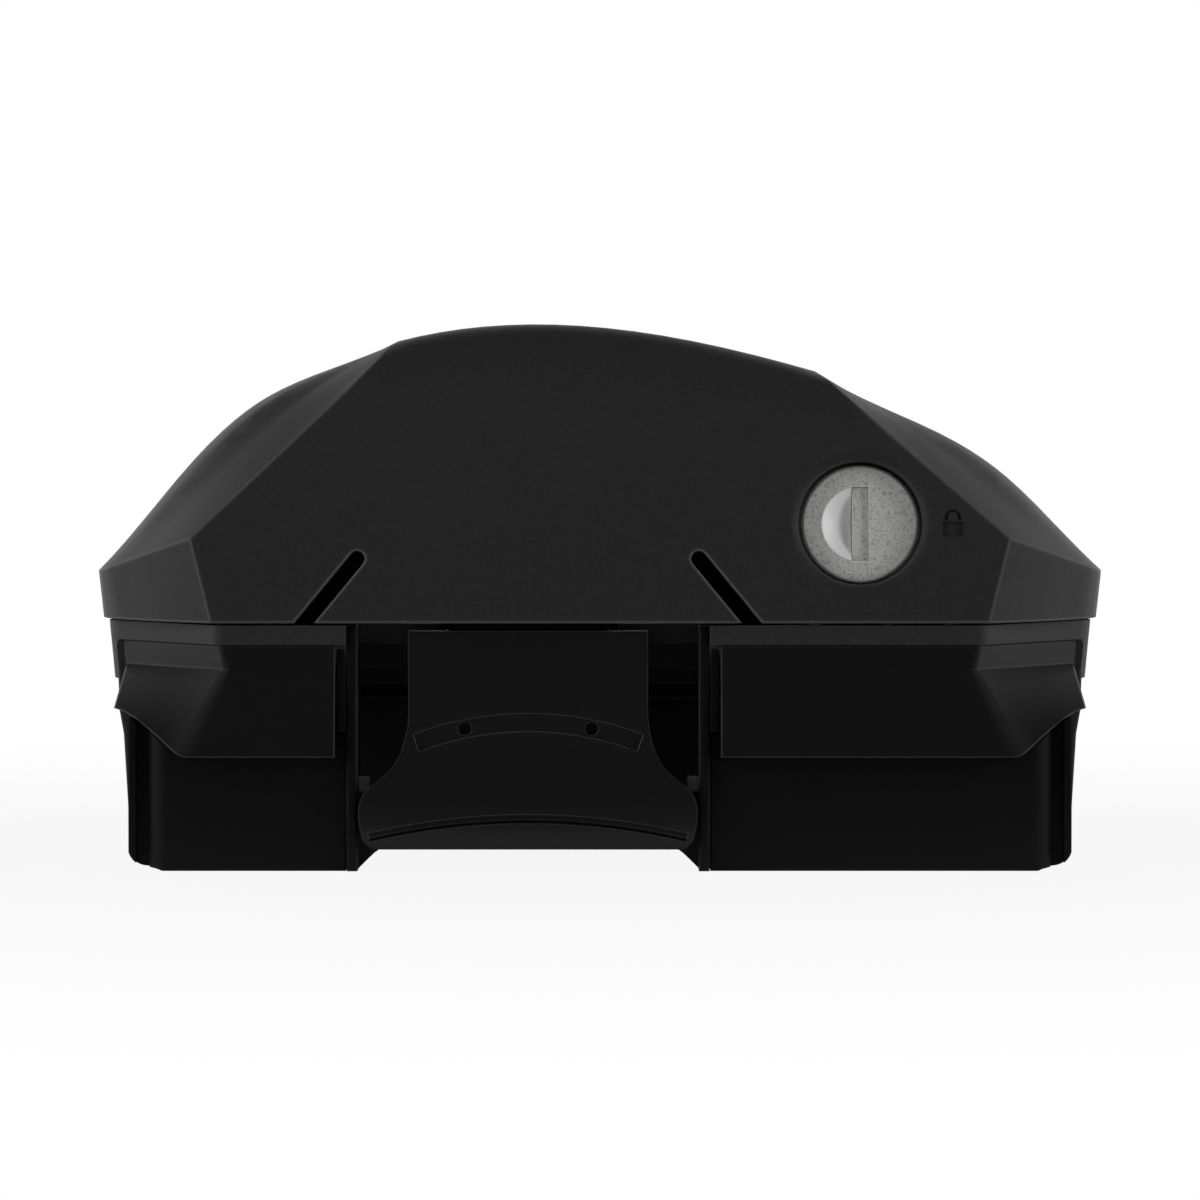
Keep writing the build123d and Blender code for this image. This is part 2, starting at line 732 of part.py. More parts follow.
# Collar around the bar, with the seal's groove and the hinge ears
with BuildPart() as bar_collar:
    with BuildSketch(plane_at(collar_y[0])):
        with BuildLine():
            cover_line(*cover_shape(cover_rear_y), cover_wall + collar_clearance, deck_z)
        make_face()
        with BuildLine():
            bar_line()
        make_face(mode=Mode.SUBTRACT)
    extrude(amount=collar_y[0] - collar_y[1])
    with BuildSketch(plane_at(collar_y[1])):
        with BuildLine():
            bar_line(seal_groove)
        make_face()
    extrude(amount=seal_depth, mode=Mode.SUBTRACT)
    # Hinge ears above the seal, with room for the knuckles between them
    ear_low_z = bar_top_z + seal_groove + ear_seat
    for side in (-1, 1):
        block(
            beside(side, ear_mid_half, ear_span[0]),
            (cover_rear_y - 2 * cover_wall, 2 * cover_rear_y),
            (hinge_z - hinge_pin_radius, 2 * hinge_z),
            Mode.SUBTRACT,
        )
    for ear in ((-ear_span[1], -ear_span[0]), (-ear_mid_half, ear_mid_half), (ear_span[0], ear_span[1])):
        with BuildSketch(Plane.YZ.offset(clamp_x + ear[0])):
            with BuildLine():
                Polyline(
                    (hinge_y, hinge_z + hinge_pin_radius),
                    (collar_y[1], hinge_z - hinge_pin_radius),
                    (collar_y[1] - knuckle_radius, hinge_z - hinge_pin_radius),
                    (collar_y[1] - knuckle_radius, ear_low_z),
                    (collar_y[1], ear_low_z),
                    (hinge_y + knuckle_radius, hinge_z),
                    (hinge_y, hinge_z),
                    close=True,
                )
            make_face()
            with Locations((hinge_y, hinge_z)):
                Circle(knuckle_radius)
                Circle(hinge_pin_radius, mode=Mode.SUBTRACT)
        extrude(amount=ear[1] - ear[0])

keep(front_cover, "front_cover")
keep(housing, "housing")
keep(bar_collar, "bar_collar")

# Rubber pads that line the channel and the rear hook
with BuildPart() as rail_pad:
    block(
        (-pad_end, pad_end),
        (channel_front_y + channel_corner, channel_rear_y - channel_corner),
        (channel_top_z - pad_thickness, channel_top_z),
    )
    groove_count = int((channel_rear_y - channel_front_y - 2 * channel_corner) // pad_groove_pitch)
    for step in range(groove_count):
        mid = channel_front_y + channel_corner + (step + 0.5) * pad_groove_pitch
        low = channel_top_z - pad_thickness
        block(
            (-pad_end, pad_end),
            (mid - pad_groove / 2, mid + pad_groove / 2),
            (low - pad_groove, low + pad_groove),
            Mode.SUBTRACT,
        )
    block(
        beside(1, -arm_slot_half, arm_slot_half),
        (-beyond, arm_slot_rear_y),
        (channel_top_z - 2 * pad_thickness, rim_z),
        Mode.SUBTRACT,
    )
    with BuildSketch(Plane.XY.offset(channel_top_z)):
        with Locations((clamp_x, tee_screw_y)):
            Circle(tee_access_radius)
    extrude(amount=-2 * pad_thickness, mode=Mode.SUBTRACT)
keep(rail_pad, "rail_pad")

with BuildPart() as rear_hook_pad:
    with BuildSketch(Plane.YZ.offset(-pad_end)):
        with BuildLine():
            Polyline(
                (channel_rear_y, channel_top_z - channel_corner),
                (channel_rear_y, hook_heights[1]),
                (channel_rear_y - hook_reach, hook_heights[0]),
                (channel_rear_y - hook_reach - pad_thickness, hook_heights[0]),
                (channel_rear_y - pad_thickness, hook_heights[1] + pad_thickness / 2),
                (channel_rear_y - pad_thickness, channel_top_z - channel_corner),
                close=True,
            )
        make_face()
    extrude(amount=2 * pad_end)
keep(rear_hook_pad, "rear_hook_pad")

# Smooth shoes in the pockets at the foot of the legs
flap_clear = 2 * flap_bottom[1][0]
for side, name in ((-1, "left_shoe"), (1, "right_shoe")):
    with BuildPart() as shoe:
        with BuildSketch(Plane.XY) as shoe_plan:
            inner = clamp_x + side * (leg_half + shoe_gap)
            with BuildLine():
                Polyline(
                    (inner, shoe_front[1]),
                    (side * shoe_front[0], shoe_front[1]),
                    (side * shoe_front[0], shoe_groove[1]),
                    (side * shoe_groove[0], shoe_groove[1]),
                    (side * shoe_groove[0], shoe_flange[1]),
                    (side * shoe_flange[0], shoe_flange[1]),
                    (side * shoe_flange[0], shoe_heel[0][1]),
                    (side * shoe_heel[0][0], shoe_heel[0][1]),
                    (side * shoe_heel[1], shoe_back_y),
                    (inner, shoe_back_y),
                    close=True,
                )
            make_face()
            shoe_corner = (side * shoe_front[0], shoe_front[1], 0)
            fillet(shoe_plan.vertices().sort_by_distance(shoe_corner)[0], shoe_round)
        extrude(amount=flap_heights[0])
        with BuildSketch(plane_at(-beyond)):
            with BuildLine():
                brow = [(side * x, z - shoe_under_flap) for x, z in flap_tip]
                Spline(brow)
                Polyline(
                    brow[-1],
                    (side * flap_clear, brow[-1][1]),
                    (side * flap_clear, beyond),
                    (clamp_x, beyond),
                    (clamp_x, shoe_top_z),
                    (brow[0][0], shoe_top_z),
                    brow[0],
                )
            make_face()
        extrude(amount=-2 * beyond, mode=Mode.SUBTRACT)
        with BuildSketch(plane_at(-beyond)):
            with BuildLine():
                foot = [(side * x, z) for x, z in shoe_foot]
                Spline(foot)
                Polyline(
                    foot[-1],
                    (side * flap_clear, shoe_foot[-1][1]),
                    (side * flap_clear, -rim_wall),
                    (foot[0][0], -rim_wall),
                    foot[0],
                )
            make_face()
        extrude(amount=-2 * beyond, mode=Mode.SUBTRACT)
        add(housing.part, mode=Mode.SUBTRACT)
    keep(shoe, name)
    if side < 0:
        left_shoe = shoe
    else:
        right_shoe = shoe

# Flared flaps over the shoes
flap_sections = list(zip(flap_heights, (flap_top, flap_fold, flap_bottom), flap_back, flap_crease))
for side, name, shoe in ((-1, "left_flap", left_shoe), (1, "right_flap", right_shoe)):
    with BuildPart() as flap:
        for height, outline, back, crease in flap_sections:
            with BuildSketch(Plane.XY.offset(height)) as flap_plan:
                with BuildLine():
                    inner = clamp_x + side * (leg_half + flap_gap)
                    Polyline(
                        (inner, outline[0][1]),
                        (side * outline[0][0], outline[0][1]),
                        (side * outline[1][0], outline[1][1]),
                        (side * (outline[1][0] - back), outline[1][1] + back / 2),
                        (side * (outline[0][0] - back / 2), outline[0][1] + back),
                        (inner, outline[0][1] + back),
                        close=True,
                    )
                make_face()
                bend = (side * outline[0][0], outline[0][1], 0)
                fillet(flap_plan.vertices().sort_by_distance(bend)[0], crease)
        loft(ruled=True)
        with BuildSketch(plane_at(-beyond)):
            with BuildLine():
                tip = [(side * x, z) for x, z in flap_tip]
                Spline(tip)
                Polyline(
                    tip[-1],
                    (side * flap_clear, flap_tip[-1][1]),
                    (side * flap_clear, 0),
                    (tip[0][0], 0),
                    tip[0],
                )
            make_face()
        extrude(amount=-2 * beyond, mode=Mode.SUBTRACT)
        add(housing.part, mode=Mode.SUBTRACT)
        add(shoe.part, mode=Mode.SUBTRACT)
    keep(flap, name)


# Folded steel bracket on the deck, with an arm down each leg and a tab beside the jaw
plate_z = (deck_z, deck_z + bracket_thickness)
bracket_arm_near = leg_half + bracket_slot_gap
bracket_arm_far = bracket_arm_near + bracket_thickness
with BuildPart() as load_bracket:
    block(beside(1, -bracket_half, bracket_half), (bracket_front_y, bracket_rear_y), plate_z)
    for side in (-1, 1):
        shoulder_x = beside(side, bracket_half - bracket_thickness, bracket_arm_far)
        arm_x = beside(side, bracket_arm_near, bracket_arm_far)
        block(shoulder_x, (bracket_front_y, arm_slot_rear_y), plate_z)
        block(arm_x, (bracket_arm_y[0], arm_slot_rear_y), plate_z)
        block(arm_x, bracket_arm_y, (bracket_arm_bottom_z, plate_z[1]))
        block(beside(side, bracket_tab_half, bracket_arm_far), bracket_arm_y, bracket_tab_z)
    add(housing.part, mode=Mode.SUBTRACT)
    block(beside(1, -arm_slot_half, arm_slot_half), (-beyond, bulkhead_y[1]), plate_z, Mode.SUBTRACT)
    tee_bore = tee_screw_radius + tee_screw_clearance
    rod(Plane.XY, (clamp_x, tee_screw_y), tee_bore, plate_z[0], bracket_thickness, Mode.SUBTRACT)
    for x, y in bracket_screw_at:
        head_place = (clamp_x + x, y)
        rod(Plane.XY, head_place, bracket_screw_radius, plate_z[0], bracket_thickness, Mode.SUBTRACT)
keep(load_bracket, "load_bracket")

along_y = Plane(origin=(0, 0, 0), x_dir=(1, 0, 0), z_dir=(0, 1, 0))


def at_y(x, z):
    """Local place of an axis along Y on the plane whose normal is Y."""
    return (x, -z)


with BuildPart() as bracket_screws:
    for x, y in bracket_screw_at:
        head_place = (clamp_x + x, y)
        rod(Plane.XY, head_place, bracket_screw_head[0], plate_z[1], bracket_screw_head[1])
        screw_low_z = plate_z[1] - bracket_screw_length
        rod(Plane.XY, head_place, bracket_screw_radius, screw_low_z, bracket_screw_length)
        cross = (2 * bracket_screw_radius, bracket_screw_radius / 2)
        with Locations((clamp_x + x, y, plate_z[1] + bracket_screw_head[1])):
            Box(cross[0], cross[1], bracket_screw_head[1], mode=Mode.SUBTRACT)
            Box(cross[1], cross[0], bracket_screw_head[1], mode=Mode.SUBTRACT)

# Clamp jaw: curved front shell, core, shelf under the rail and the arm that the screw pulls
with BuildPart() as clamp_jaw:
    with BuildSketch(plane_at(jaw_shell_back_y)):
        with BuildLine():
            right = [(clamp_x + x, z) for x, z in jaw_flare]
            left = [(clamp_x - x, z) for x, z in reversed(jaw_flare)]
            corner = jaw_flare[-1][0] - jaw_corner
            Line((clamp_x - jaw_neck_half, jaw_top_z), (clamp_x + jaw_neck_half, jaw_top_z))
            Line((clamp_x + jaw_neck_half, jaw_top_z), right[0])
            Spline(right, tangents=((0, -1), (-0.2, -1)))
            Line(right[-1], (clamp_x + corner, jaw_bottom_z))
            Line((clamp_x + corner, jaw_bottom_z), (clamp_x - corner, jaw_bottom_z))
            Line((clamp_x - corner, jaw_bottom_z), left[0])
            Spline(left, tangents=((-0.2, 1), (0, 1)))
            Line(left[-1], (clamp_x - jaw_neck_half, jaw_top_z))
        make_face()
    extrude(amount=2 * (jaw_shell_back_y - jaw_front[3][0]))
    with BuildSketch(Plane.YZ.offset(clamp_x)):
        with BuildLine():
            Spline(jaw_front)
            Polyline(
                jaw_front[-1],
                (jaw_shell_back_y, jaw_bottom_z),
                (jaw_shell_back_y, jaw_top_z),
                jaw_front[0],
            )
        make_face()
    extrude(amount=2 * window_half, both=True, mode=Mode.INTERSECT)
    with BuildSketch(plane_at(jaw_front[3][0] - groove_depth)):
        with BuildLine():
            ThreePointArc(
                (clamp_x - groove_ends[0], groove_ends[1]),
                (clamp_x, groove_apex_z),
                (clamp_x + groove_ends[0], groove_ends[1]),
            )
        trace(line_width=groove_width)
    extrude(amount=-2 * groove_depth, mode=Mode.SUBTRACT)
    # Deep root along the lower edge of the groove
    root_drop = (groove_width - groove_root) / 2
    with BuildSketch(plane_at(jaw_front[3][0] - groove_root_depth)):
        with BuildLine():
            ThreePointArc(
                (clamp_x - groove_ends[0], groove_ends[1] - root_drop),
                (clamp_x, groove_apex_z - root_drop),
                (clamp_x + groove_ends[0], groove_ends[1] - root_drop),
            )
        trace(line_width=groove_root)
    extrude(amount=-2 * groove_root_depth, mode=Mode.SUBTRACT)
    with BuildSketch(plane_at(jaw_front[3][0])):
        with BuildLine():
            ThreePointArc(
                (clamp_x - band_ends[0], band_ends[1]),
                (clamp_x, band_apex_z),
                (clamp_x + band_ends[0], band_ends[1]),
            )
        trace(line_width=band_width)
    extrude(amount=jaw_front[3][0] - band_floor_y, mode=Mode.SUBTRACT)
    core_x = beside(1, -jaw_core_half, jaw_core_half)
    block(core_x, (jaw_shell_back_y, jaw_core_back_y), (jaw_bottom_z, arm_z[0]))
    hook_x = beside(1, -hook_half, hook_half)
    block(hook_x, (jaw_shell_back_y, hook_tip_y), (jaw_bottom_z, hook_shelf_z))
    arm_x = beside(1, -arm_half, arm_half)
    block(arm_x, (jaw_shell_back_y, arm_y[1]), (arm_z[0], jaw_top_z))
    block(arm_x, arm_y, arm_z)
    screw_place = at_y(clamp_x, screw_z)
    rod(
        along_y,
        screw_place,
        screw_radius + screw_clearance,
        arm_y[0],
        arm_y[1] - arm_y[0],
        Mode.SUBTRACT,
    )
    rod(
        along_y,
        screw_place,
        screw_head_radius + screw_head_gap,
        arm_y[0],
        screw_head_length + washer_thickness,
        Mode.SUBTRACT,
    )
    for side in (-1, 1):
        hole = at_y(clamp_x + side * jaw_hole_offset, jaw_hole_z)
        rod(
            along_y,
            hole,
            jaw_hole_radius,
            jaw_front[3][0],
            jaw_hole_floor_y - jaw_front[3][0],
            Mode.SUBTRACT,
        )
        screw_start_y = jaw_core_back_y + plate_thickness - plate_screw_length
        rod(along_y, hole, plate_screw_radius, screw_start_y, plate_screw_length, Mode.SUBTRACT)
keep(clamp_jaw, "clamp_jaw")

plate_y = (jaw_core_back_y, jaw_core_back_y + plate_thickness)
shelf_z = (hook_shelf_z, hook_shelf_z + plate_thickness)
with BuildPart() as jaw_plate:
    block(beside(1, -plate_half, plate_half), plate_y, (shelf_z[0], plate_top_z))
    block(beside(1, -plate_half, plate_half), (plate_y[0], hook_tip_y - pad_rib), shelf_z)
    for side in (-1, 1):
        hole = at_y(clamp_x + side * jaw_hole_offset, jaw_hole_z)
        rod(along_y, hole, plate_screw_radius, plate_y[0], plate_thickness, Mode.SUBTRACT)
keep(jaw_plate, "jaw_plate")

pad_face_y = plate_y[1] + jaw_pad_thickness
with BuildPart() as jaw_pad:
    block(beside(1, -jaw_pad_half, jaw_pad_half), (plate_y[1], pad_face_y), (shelf_z[1], plate_top_z))
    block(
        beside(1, -jaw_pad_half, jaw_pad_half),
        (plate_y[1], hook_tip_y - 2 * pad_rib),
        (shelf_z[1], shelf_z[1] + jaw_pad_thickness),
    )
    for step in range(4):
        low = shelf_z[1] + 1.5 * jaw_pad_thickness + step * 3 * pad_rib
        block(
            beside(1, -jaw_pad_half, jaw_pad_half),
            (pad_face_y - pad_rib / 2, pad_face_y + pad_rib),
            (low, low + pad_rib),
            Mode.SUBTRACT,
        )
    for side in (-1, 1):
        hole = at_y(clamp_x + side * jaw_hole_offset, jaw_hole_z)
        head_room = plate_screw_head[0] + bracket_slot_gap
        rod(along_y, hole, head_room, plate_y[1], jaw_pad_thickness, Mode.SUBTRACT)
keep(jaw_pad, "jaw_pad")

with BuildPart() as jaw_screws:
    for side in (-1, 1):
        hole = at_y(clamp_x + side * jaw_hole_offset, jaw_hole_z)
        rod(along_y, hole, plate_screw_head[0], plate_y[1], plate_screw_head[1])
        rod(along_y, hole, plate_screw_radius, plate_y[1] - plate_screw_length, plate_screw_length)
        with Locations((clamp_x + side * jaw_hole_offset, plate_y[1] + plate_screw_head[1], jaw_hole_z)):
            Box(2 * plate_screw_radius, plate_screw_head[1], plate_screw_radius / 2, mode=Mode.SUBTRACT)
            Box(plate_screw_radius / 2, plate_screw_head[1], 2 * plate_screw_radius, mode=Mode.SUBTRACT)
keep(jaw_screws, "jaw_screws")
keep(bracket_screws, "bracket_screws")

# Clamp screw with its washer, retaining ring, captive nut and return spring
head_y = (arm_y[0], arm_y[0] + screw_head_length)
with BuildPart() as clamp_screw:
    rod(along_y, screw_place, screw_head_radius, head_y[0], screw_head_length)
    rod(along_y, screw_place, screw_radius, head_y[1], screw_tip_y - head_y[1])
    with BuildSketch(plane_at(head_y[0])):
        with Locations((clamp_x, screw_z)):
            RegularPolygon(screw_hex / 2, 6, major_radius=False)
    extrude(amount=-screw_hex_depth, mode=Mode.SUBTRACT)
keep(clamp_screw, "clamp_screw")

with BuildPart() as clamp_washer:
    rod(along_y, screw_place, washer_radius, head_y[1], washer_thickness)
    rod(along_y, screw_place, screw_radius, head_y[1], washer_thickness, Mode.SUBTRACT)
keep(clamp_washer, "clamp_washer")

ring_start_y = arm_y[1] + nut_gap
with BuildPart() as screw_ring:
    rod(along_y, screw_place, ring_radius, ring_start_y, ring_thickness)
    rod(along_y, screw_place, screw_radius, ring_start_y, ring_thickness, Mode.SUBTRACT)
    block(
        beside(1, -screw_radius / 2, screw_radius / 2),
        (ring_start_y, ring_start_y + ring_thickness),
        (screw_z - 2 * ring_radius, screw_z - screw_radius / 2),
        Mode.SUBTRACT,
    )
keep(screw_ring, "screw_ring")

with BuildPart() as clamp_nut:
    block(
        beside(1, -nut_size / 2, nut_size / 2),
        (bulkhead_y[1] - nut_length, bulkhead_y[1]),
        (screw_z - nut_size / 2, screw_z + nut_size / 2),
    )
    nut_bore = screw_radius + hinge_running_gap
    rod(along_y, screw_place, nut_bore, bulkhead_y[1] - nut_length, nut_length, Mode.SUBTRACT)
keep(clamp_nut, "clamp_nut")

spring_length = bulkhead_y[0] - arm_y[1] - 2 * spring_wire
with BuildPart() as jaw_spring:
    with BuildLine() as coil:
        Helix(
            spring_length / spring_turns,
            spring_length,
            spring_radii[0],
            center=(clamp_x, arm_y[1] + spring_wire, screw_z),
            direction=(0, 1, 0),
            cone_angle=-degrees(atan2(spring_radii[0] - spring_radii[1], spring_length)),
        )
    with BuildSketch(Plane(coil.line @ 0, z_dir=coil.line % 0)):
        Circle(spring_wire)
    sweep(is_frenet=True)
keep(jaw_spring, "jaw_spring")

# Bar tee, pulled down by a screw from the channel side
with BuildPart() as bar_tee:
    block(beside(1, -tee_stem_half, tee_stem_half), tee_y, (tee_stem_bottom_z, tee_head_z[1]))
    block(beside(1, -tee_head_half, tee_head_half), tee_y, tee_head_z)
    rod(
        Plane.XY,
        (clamp_x, tee_screw_y),
        tee_screw_radius + hinge_running_gap,
        tee_stem_bottom_z,
        tee_head_z[1] - tee_stem_bottom_z,
        Mode.SUBTRACT,
    )
    chamfer(bar_tee.edges().filter_by(Axis.Z).group_by(Axis.X)[0], tee_edge)
    chamfer(bar_tee.edges().filter_by(Axis.Z).group_by(Axis.X)[-1], tee_edge)
keep(bar_tee, "bar_tee")

tee_washer_z = (deck_z - tee_washer[1], deck_z)
tee_head_low_z = tee_washer_z[0] - tee_screw_head[1]
with BuildPart() as tee_screw:
    rod(Plane.XY, (clamp_x, tee_screw_y), tee_screw_head[0], tee_head_low_z, tee_screw_head[1])
    tee_shank = tee_head_z[0] - tee_washer_z[0]
    rod(Plane.XY, (clamp_x, tee_screw_y), tee_screw_radius, tee_washer_z[0], tee_shank)
    with BuildSketch(Plane.XY.offset(tee_head_low_z)):
        with Locations((clamp_x, tee_screw_y)):
            RegularPolygon(tee_screw_hex / 2, 6, major_radius=False)
    extrude(amount=tee_screw_head[1] / 2, mode=Mode.SUBTRACT)
keep(tee_screw, "tee_screw")

with BuildPart() as tee_washer_ring:
    rod(Plane.XY, (clamp_x, tee_screw_y), tee_washer[0], tee_washer_z[0], tee_washer[1])
    washer_bore = tee_screw_radius + tee_screw_clearance
    rod(Plane.XY, (clamp_x, tee_screw_y), washer_bore, tee_washer_z[0], tee_washer[1], Mode.SUBTRACT)
keep(tee_washer_ring, "tee_washer")

with BuildPart() as bar_seal:
    with BuildSketch(plane_at(collar_y[1] - seal_depth)):
        with BuildLine():
            bar_line(seal_groove)
        make_face()
        with BuildLine():
            bar_line(-seal_grip)
        make_face(mode=Mode.SUBTRACT)
    extrude(amount=-seal_depth - seal_proud)
keep(bar_seal, "bar_seal")

along_x = Plane(origin=(0, 0, 0), x_dir=(0, 1, 0), z_dir=(1, 0, 0))
with BuildPart() as hinge_pin:
    rod(along_x, (hinge_y, hinge_z), hinge_pin_radius, clamp_x - ear_span[1], 2 * ear_span[1])
keep(hinge_pin, "hinge_pin")

# Lock, stacked along the normal of the front face, inwards from the face
head_low = -lock_face_depth - lock_head_length
barrel_top = head_low - lock_gap
barrel_low = barrel_top - barrel_length
plug_low = head_low - plug_length
cam_low = plug_low - cam_thickness
dish_radius = (scoop_radius**2 + scoop_depth**2) / (2 * scoop_depth)
with BuildPart() as lock_plug:
    rod(lock_plane, (0, 0), lock_face_radius, head_low, lock_head_length)
    rims = lock_plug.edges().filter_by(GeomType.CIRCLE)
    chamfer(rims.sort_by(Axis(lock_plane.origin, front_normal))[-1], lock_face_edge)
    rod(lock_plane, (0, 0), plug_radius, plug_low, plug_length)
    with BuildSketch(lock_plane.offset(-lock_face_depth)):
        Rectangle(key_slot[0], key_slot[1])
    extrude(amount=-key_slot_depth, mode=Mode.SUBTRACT)
    dish_x = scoop_radius - scoop_width - key_slot[0] / 2
    dish_rise = dish_radius - scoop_depth - lock_face_depth
    dish = Plane(
        lock_plane.from_local_coords((dish_x, 0, dish_rise)),
        x_dir=lock_plane.y_dir,
        z_dir=lock_plane.z_dir,
    )
    with Locations(dish):
        half_left = (Align.CENTER, Align.MIN, Align.CENTER)
        Sphere(dish_radius, arc_size3=180, align=half_left, mode=Mode.SUBTRACT)
    for step in range(wafer_count):
        with BuildSketch(lock_plane.offset(plug_low + wafer_pitch * (step + 0.5) - wafer_gap)):
            Rectangle(wafer_size[0] + 2 * wafer_gap, wafer_size[1] + 2 * wafer_gap)
        extrude(amount=wafer_size[2] + 2 * wafer_gap, mode=Mode.SUBTRACT)
    rod(lock_plane, (0, 0), cam_screw_radius, plug_low, wafer_pitch * wafer_count, Mode.SUBTRACT)
keep(lock_plug, "lock_plug")

with BuildPart() as key_shutter:
    with BuildSketch(lock_plane.offset(-lock_face_depth - shutter_sink - shutter_thickness)):
        Rectangle(key_slot[0] - 2 * shutter_gap, key_slot[1] - 2 * shutter_gap)
    extrude(amount=shutter_thickness)
keep(key_shutter, "key_shutter")

with BuildPart() as lock_wafers:
    for step in range(wafer_count):
        with BuildSketch(lock_plane.offset(plug_low + wafer_pitch * (step + 0.5))):
            Rectangle(wafer_size[0], wafer_size[1])
            Circle(cam_screw_radius + wafer_gap, mode=Mode.SUBTRACT)
        extrude(amount=wafer_size[2])
keep(lock_wafers, "lock_wafers")

with BuildPart() as lock_barrel:
    rod(lock_plane, (0, 0), lock_hole_radius - barrel_clearance, barrel_low, barrel_length)
    rod(lock_plane, (0, 0), plug_radius + plug_running_gap, barrel_low, barrel_length, Mode.SUBTRACT)
keep(lock_barrel, "lock_barrel")

clip_low = -lock_boss_length - lock_gap - clip_thickness
with BuildPart() as barrel_clip:
    rod(lock_plane, (0, 0), clip_radius, clip_low, clip_thickness)
    rod(lock_plane, (0, 0), lock_hole_radius - barrel_clearance, clip_low, clip_thickness, Mode.SUBTRACT)
    with BuildSketch(lock_plane.offset(clip_low)):
        with Locations((0, clip_radius)):
            Rectangle(clip_radius, clip_radius)
    extrude(amount=clip_thickness, mode=Mode.SUBTRACT)
keep(barrel_clip, "barrel_clip")

with BuildPart() as lock_cam:
    with BuildSketch(lock_plane.offset(cam_low)):
        Circle(cam_width / 2 + cam_screw_radius / 2)
        with Locations((0, (cam_width / 2 - cam_reach) / 2)):
            Rectangle(cam_width, cam_reach - cam_width / 2)
        with Locations((0, cam_width / 2 - cam_reach)):
            Circle(cam_width / 2)
        Circle(cam_screw_radius, mode=Mode.SUBTRACT)
    extrude(amount=cam_thickness)
keep(lock_cam, "lock_cam")

with BuildPart() as cam_screw:
    rod(lock_plane, (0, 0), cam_screw_head[0], cam_low - cam_screw_head[1], cam_screw_head[1])
    rod(lock_plane, (0, 0), cam_screw_radius, cam_low, cam_thickness + wafer_pitch * wafer_count)
    with BuildSketch(lock_plane.offset(cam_low - cam_screw_head[1])):
        Rectangle(2 * cam_screw_radius, cam_screw_radius / 2)
        Rectangle(cam_screw_radius / 2, 2 * cam_screw_radius)
    extrude(amount=cam_screw_head[1] / 2, mode=Mode.SUBTRACT)
keep(cam_screw, "cam_screw")

# Keeper that the cam turns under
keeper_far_x = keeper_x + keeper_thickness
with BuildPart() as lock_keeper:
    block((keeper_x, keeper_far_x), keeper_y, (deck_z, keeper_lip_z + keeper_thickness))
    block((keeper_lip_x, keeper_far_x), keeper_y, (keeper_lip_z, keeper_lip_z + keeper_thickness))
    block((keeper_x, keeper_far_x + keeper_foot), keeper_y, (deck_z, deck_z + keeper_thickness))
    rod(Plane.XY, keeper_screw_at, keeper_screw_radius, deck_z, keeper_thickness, Mode.SUBTRACT)
keep(lock_keeper, "lock_keeper")

with BuildPart() as keeper_screw:
    rod(Plane.XY, keeper_screw_at, keeper_screw_head[0], deck_z + keeper_thickness, keeper_screw_head[1])
    keeper_shank = keeper_grip + keeper_thickness
    rod(Plane.XY, keeper_screw_at, keeper_screw_radius, deck_z - keeper_grip, keeper_shank)
    cross = (2 * keeper_screw_radius, keeper_screw_radius / 2)
    head_top_z = deck_z + keeper_thickness + keeper_screw_head[1]
    with Locations((keeper_screw_at[0], keeper_screw_at[1], head_top_z)):
        Box(cross[0], cross[1], keeper_screw_head[1], mode=Mode.SUBTRACT)
        Box(cross[1], cross[0], keeper_screw_head[1], mode=Mode.SUBTRACT)
keep(keeper_screw, "keeper_screw")
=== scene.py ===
"""Roof bar foot: finishes, trim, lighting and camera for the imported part.

Every piece is in metres, with X along the rail, Y from the outer face to the bar and Z up. The script
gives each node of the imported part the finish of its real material, adds the thin trim on the legs and
lights it all in a studio.
"""

import logging
import math
from abc import ABC, abstractmethod
from dataclasses import dataclass, field
from enum import Enum
from typing import Any

import bpy
import numpy as np
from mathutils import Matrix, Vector


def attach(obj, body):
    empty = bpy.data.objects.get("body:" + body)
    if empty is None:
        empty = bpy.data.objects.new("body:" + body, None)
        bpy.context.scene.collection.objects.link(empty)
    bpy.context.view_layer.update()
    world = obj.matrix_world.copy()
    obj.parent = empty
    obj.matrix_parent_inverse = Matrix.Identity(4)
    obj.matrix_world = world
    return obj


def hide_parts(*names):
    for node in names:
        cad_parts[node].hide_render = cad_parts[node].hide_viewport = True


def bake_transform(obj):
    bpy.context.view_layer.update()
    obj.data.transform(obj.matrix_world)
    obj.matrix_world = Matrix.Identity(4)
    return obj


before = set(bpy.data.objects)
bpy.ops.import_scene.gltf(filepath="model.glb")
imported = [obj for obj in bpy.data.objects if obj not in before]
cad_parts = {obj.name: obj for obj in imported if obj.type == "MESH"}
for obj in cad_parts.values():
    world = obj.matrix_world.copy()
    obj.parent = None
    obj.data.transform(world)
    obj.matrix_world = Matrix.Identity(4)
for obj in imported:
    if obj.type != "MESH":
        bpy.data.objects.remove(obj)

LOG = logging.getLogger("roof_bar_foot")
MM = 0.001
# Most of a noise texture's values lie between these two.
NOISE_MIDDLE = (0.3, 0.7)

Colour = tuple[float, float, float, float]
Place = tuple[float, float, float]
Span = tuple[float, float]
Socket = bpy.types.NodeSocket
Materials = dict[str, bpy.types.Material]


class Edge(Enum):
    """How far a moulded or stamped edge is broken, as a radius in millimetres."""

    CRISP = 0.22
    SOFT = 0.5
    FULL = 1.0


class Side(Enum):
    """The two legs, with the sign of X on each."""

    LEFT = -1
    RIGHT = 1


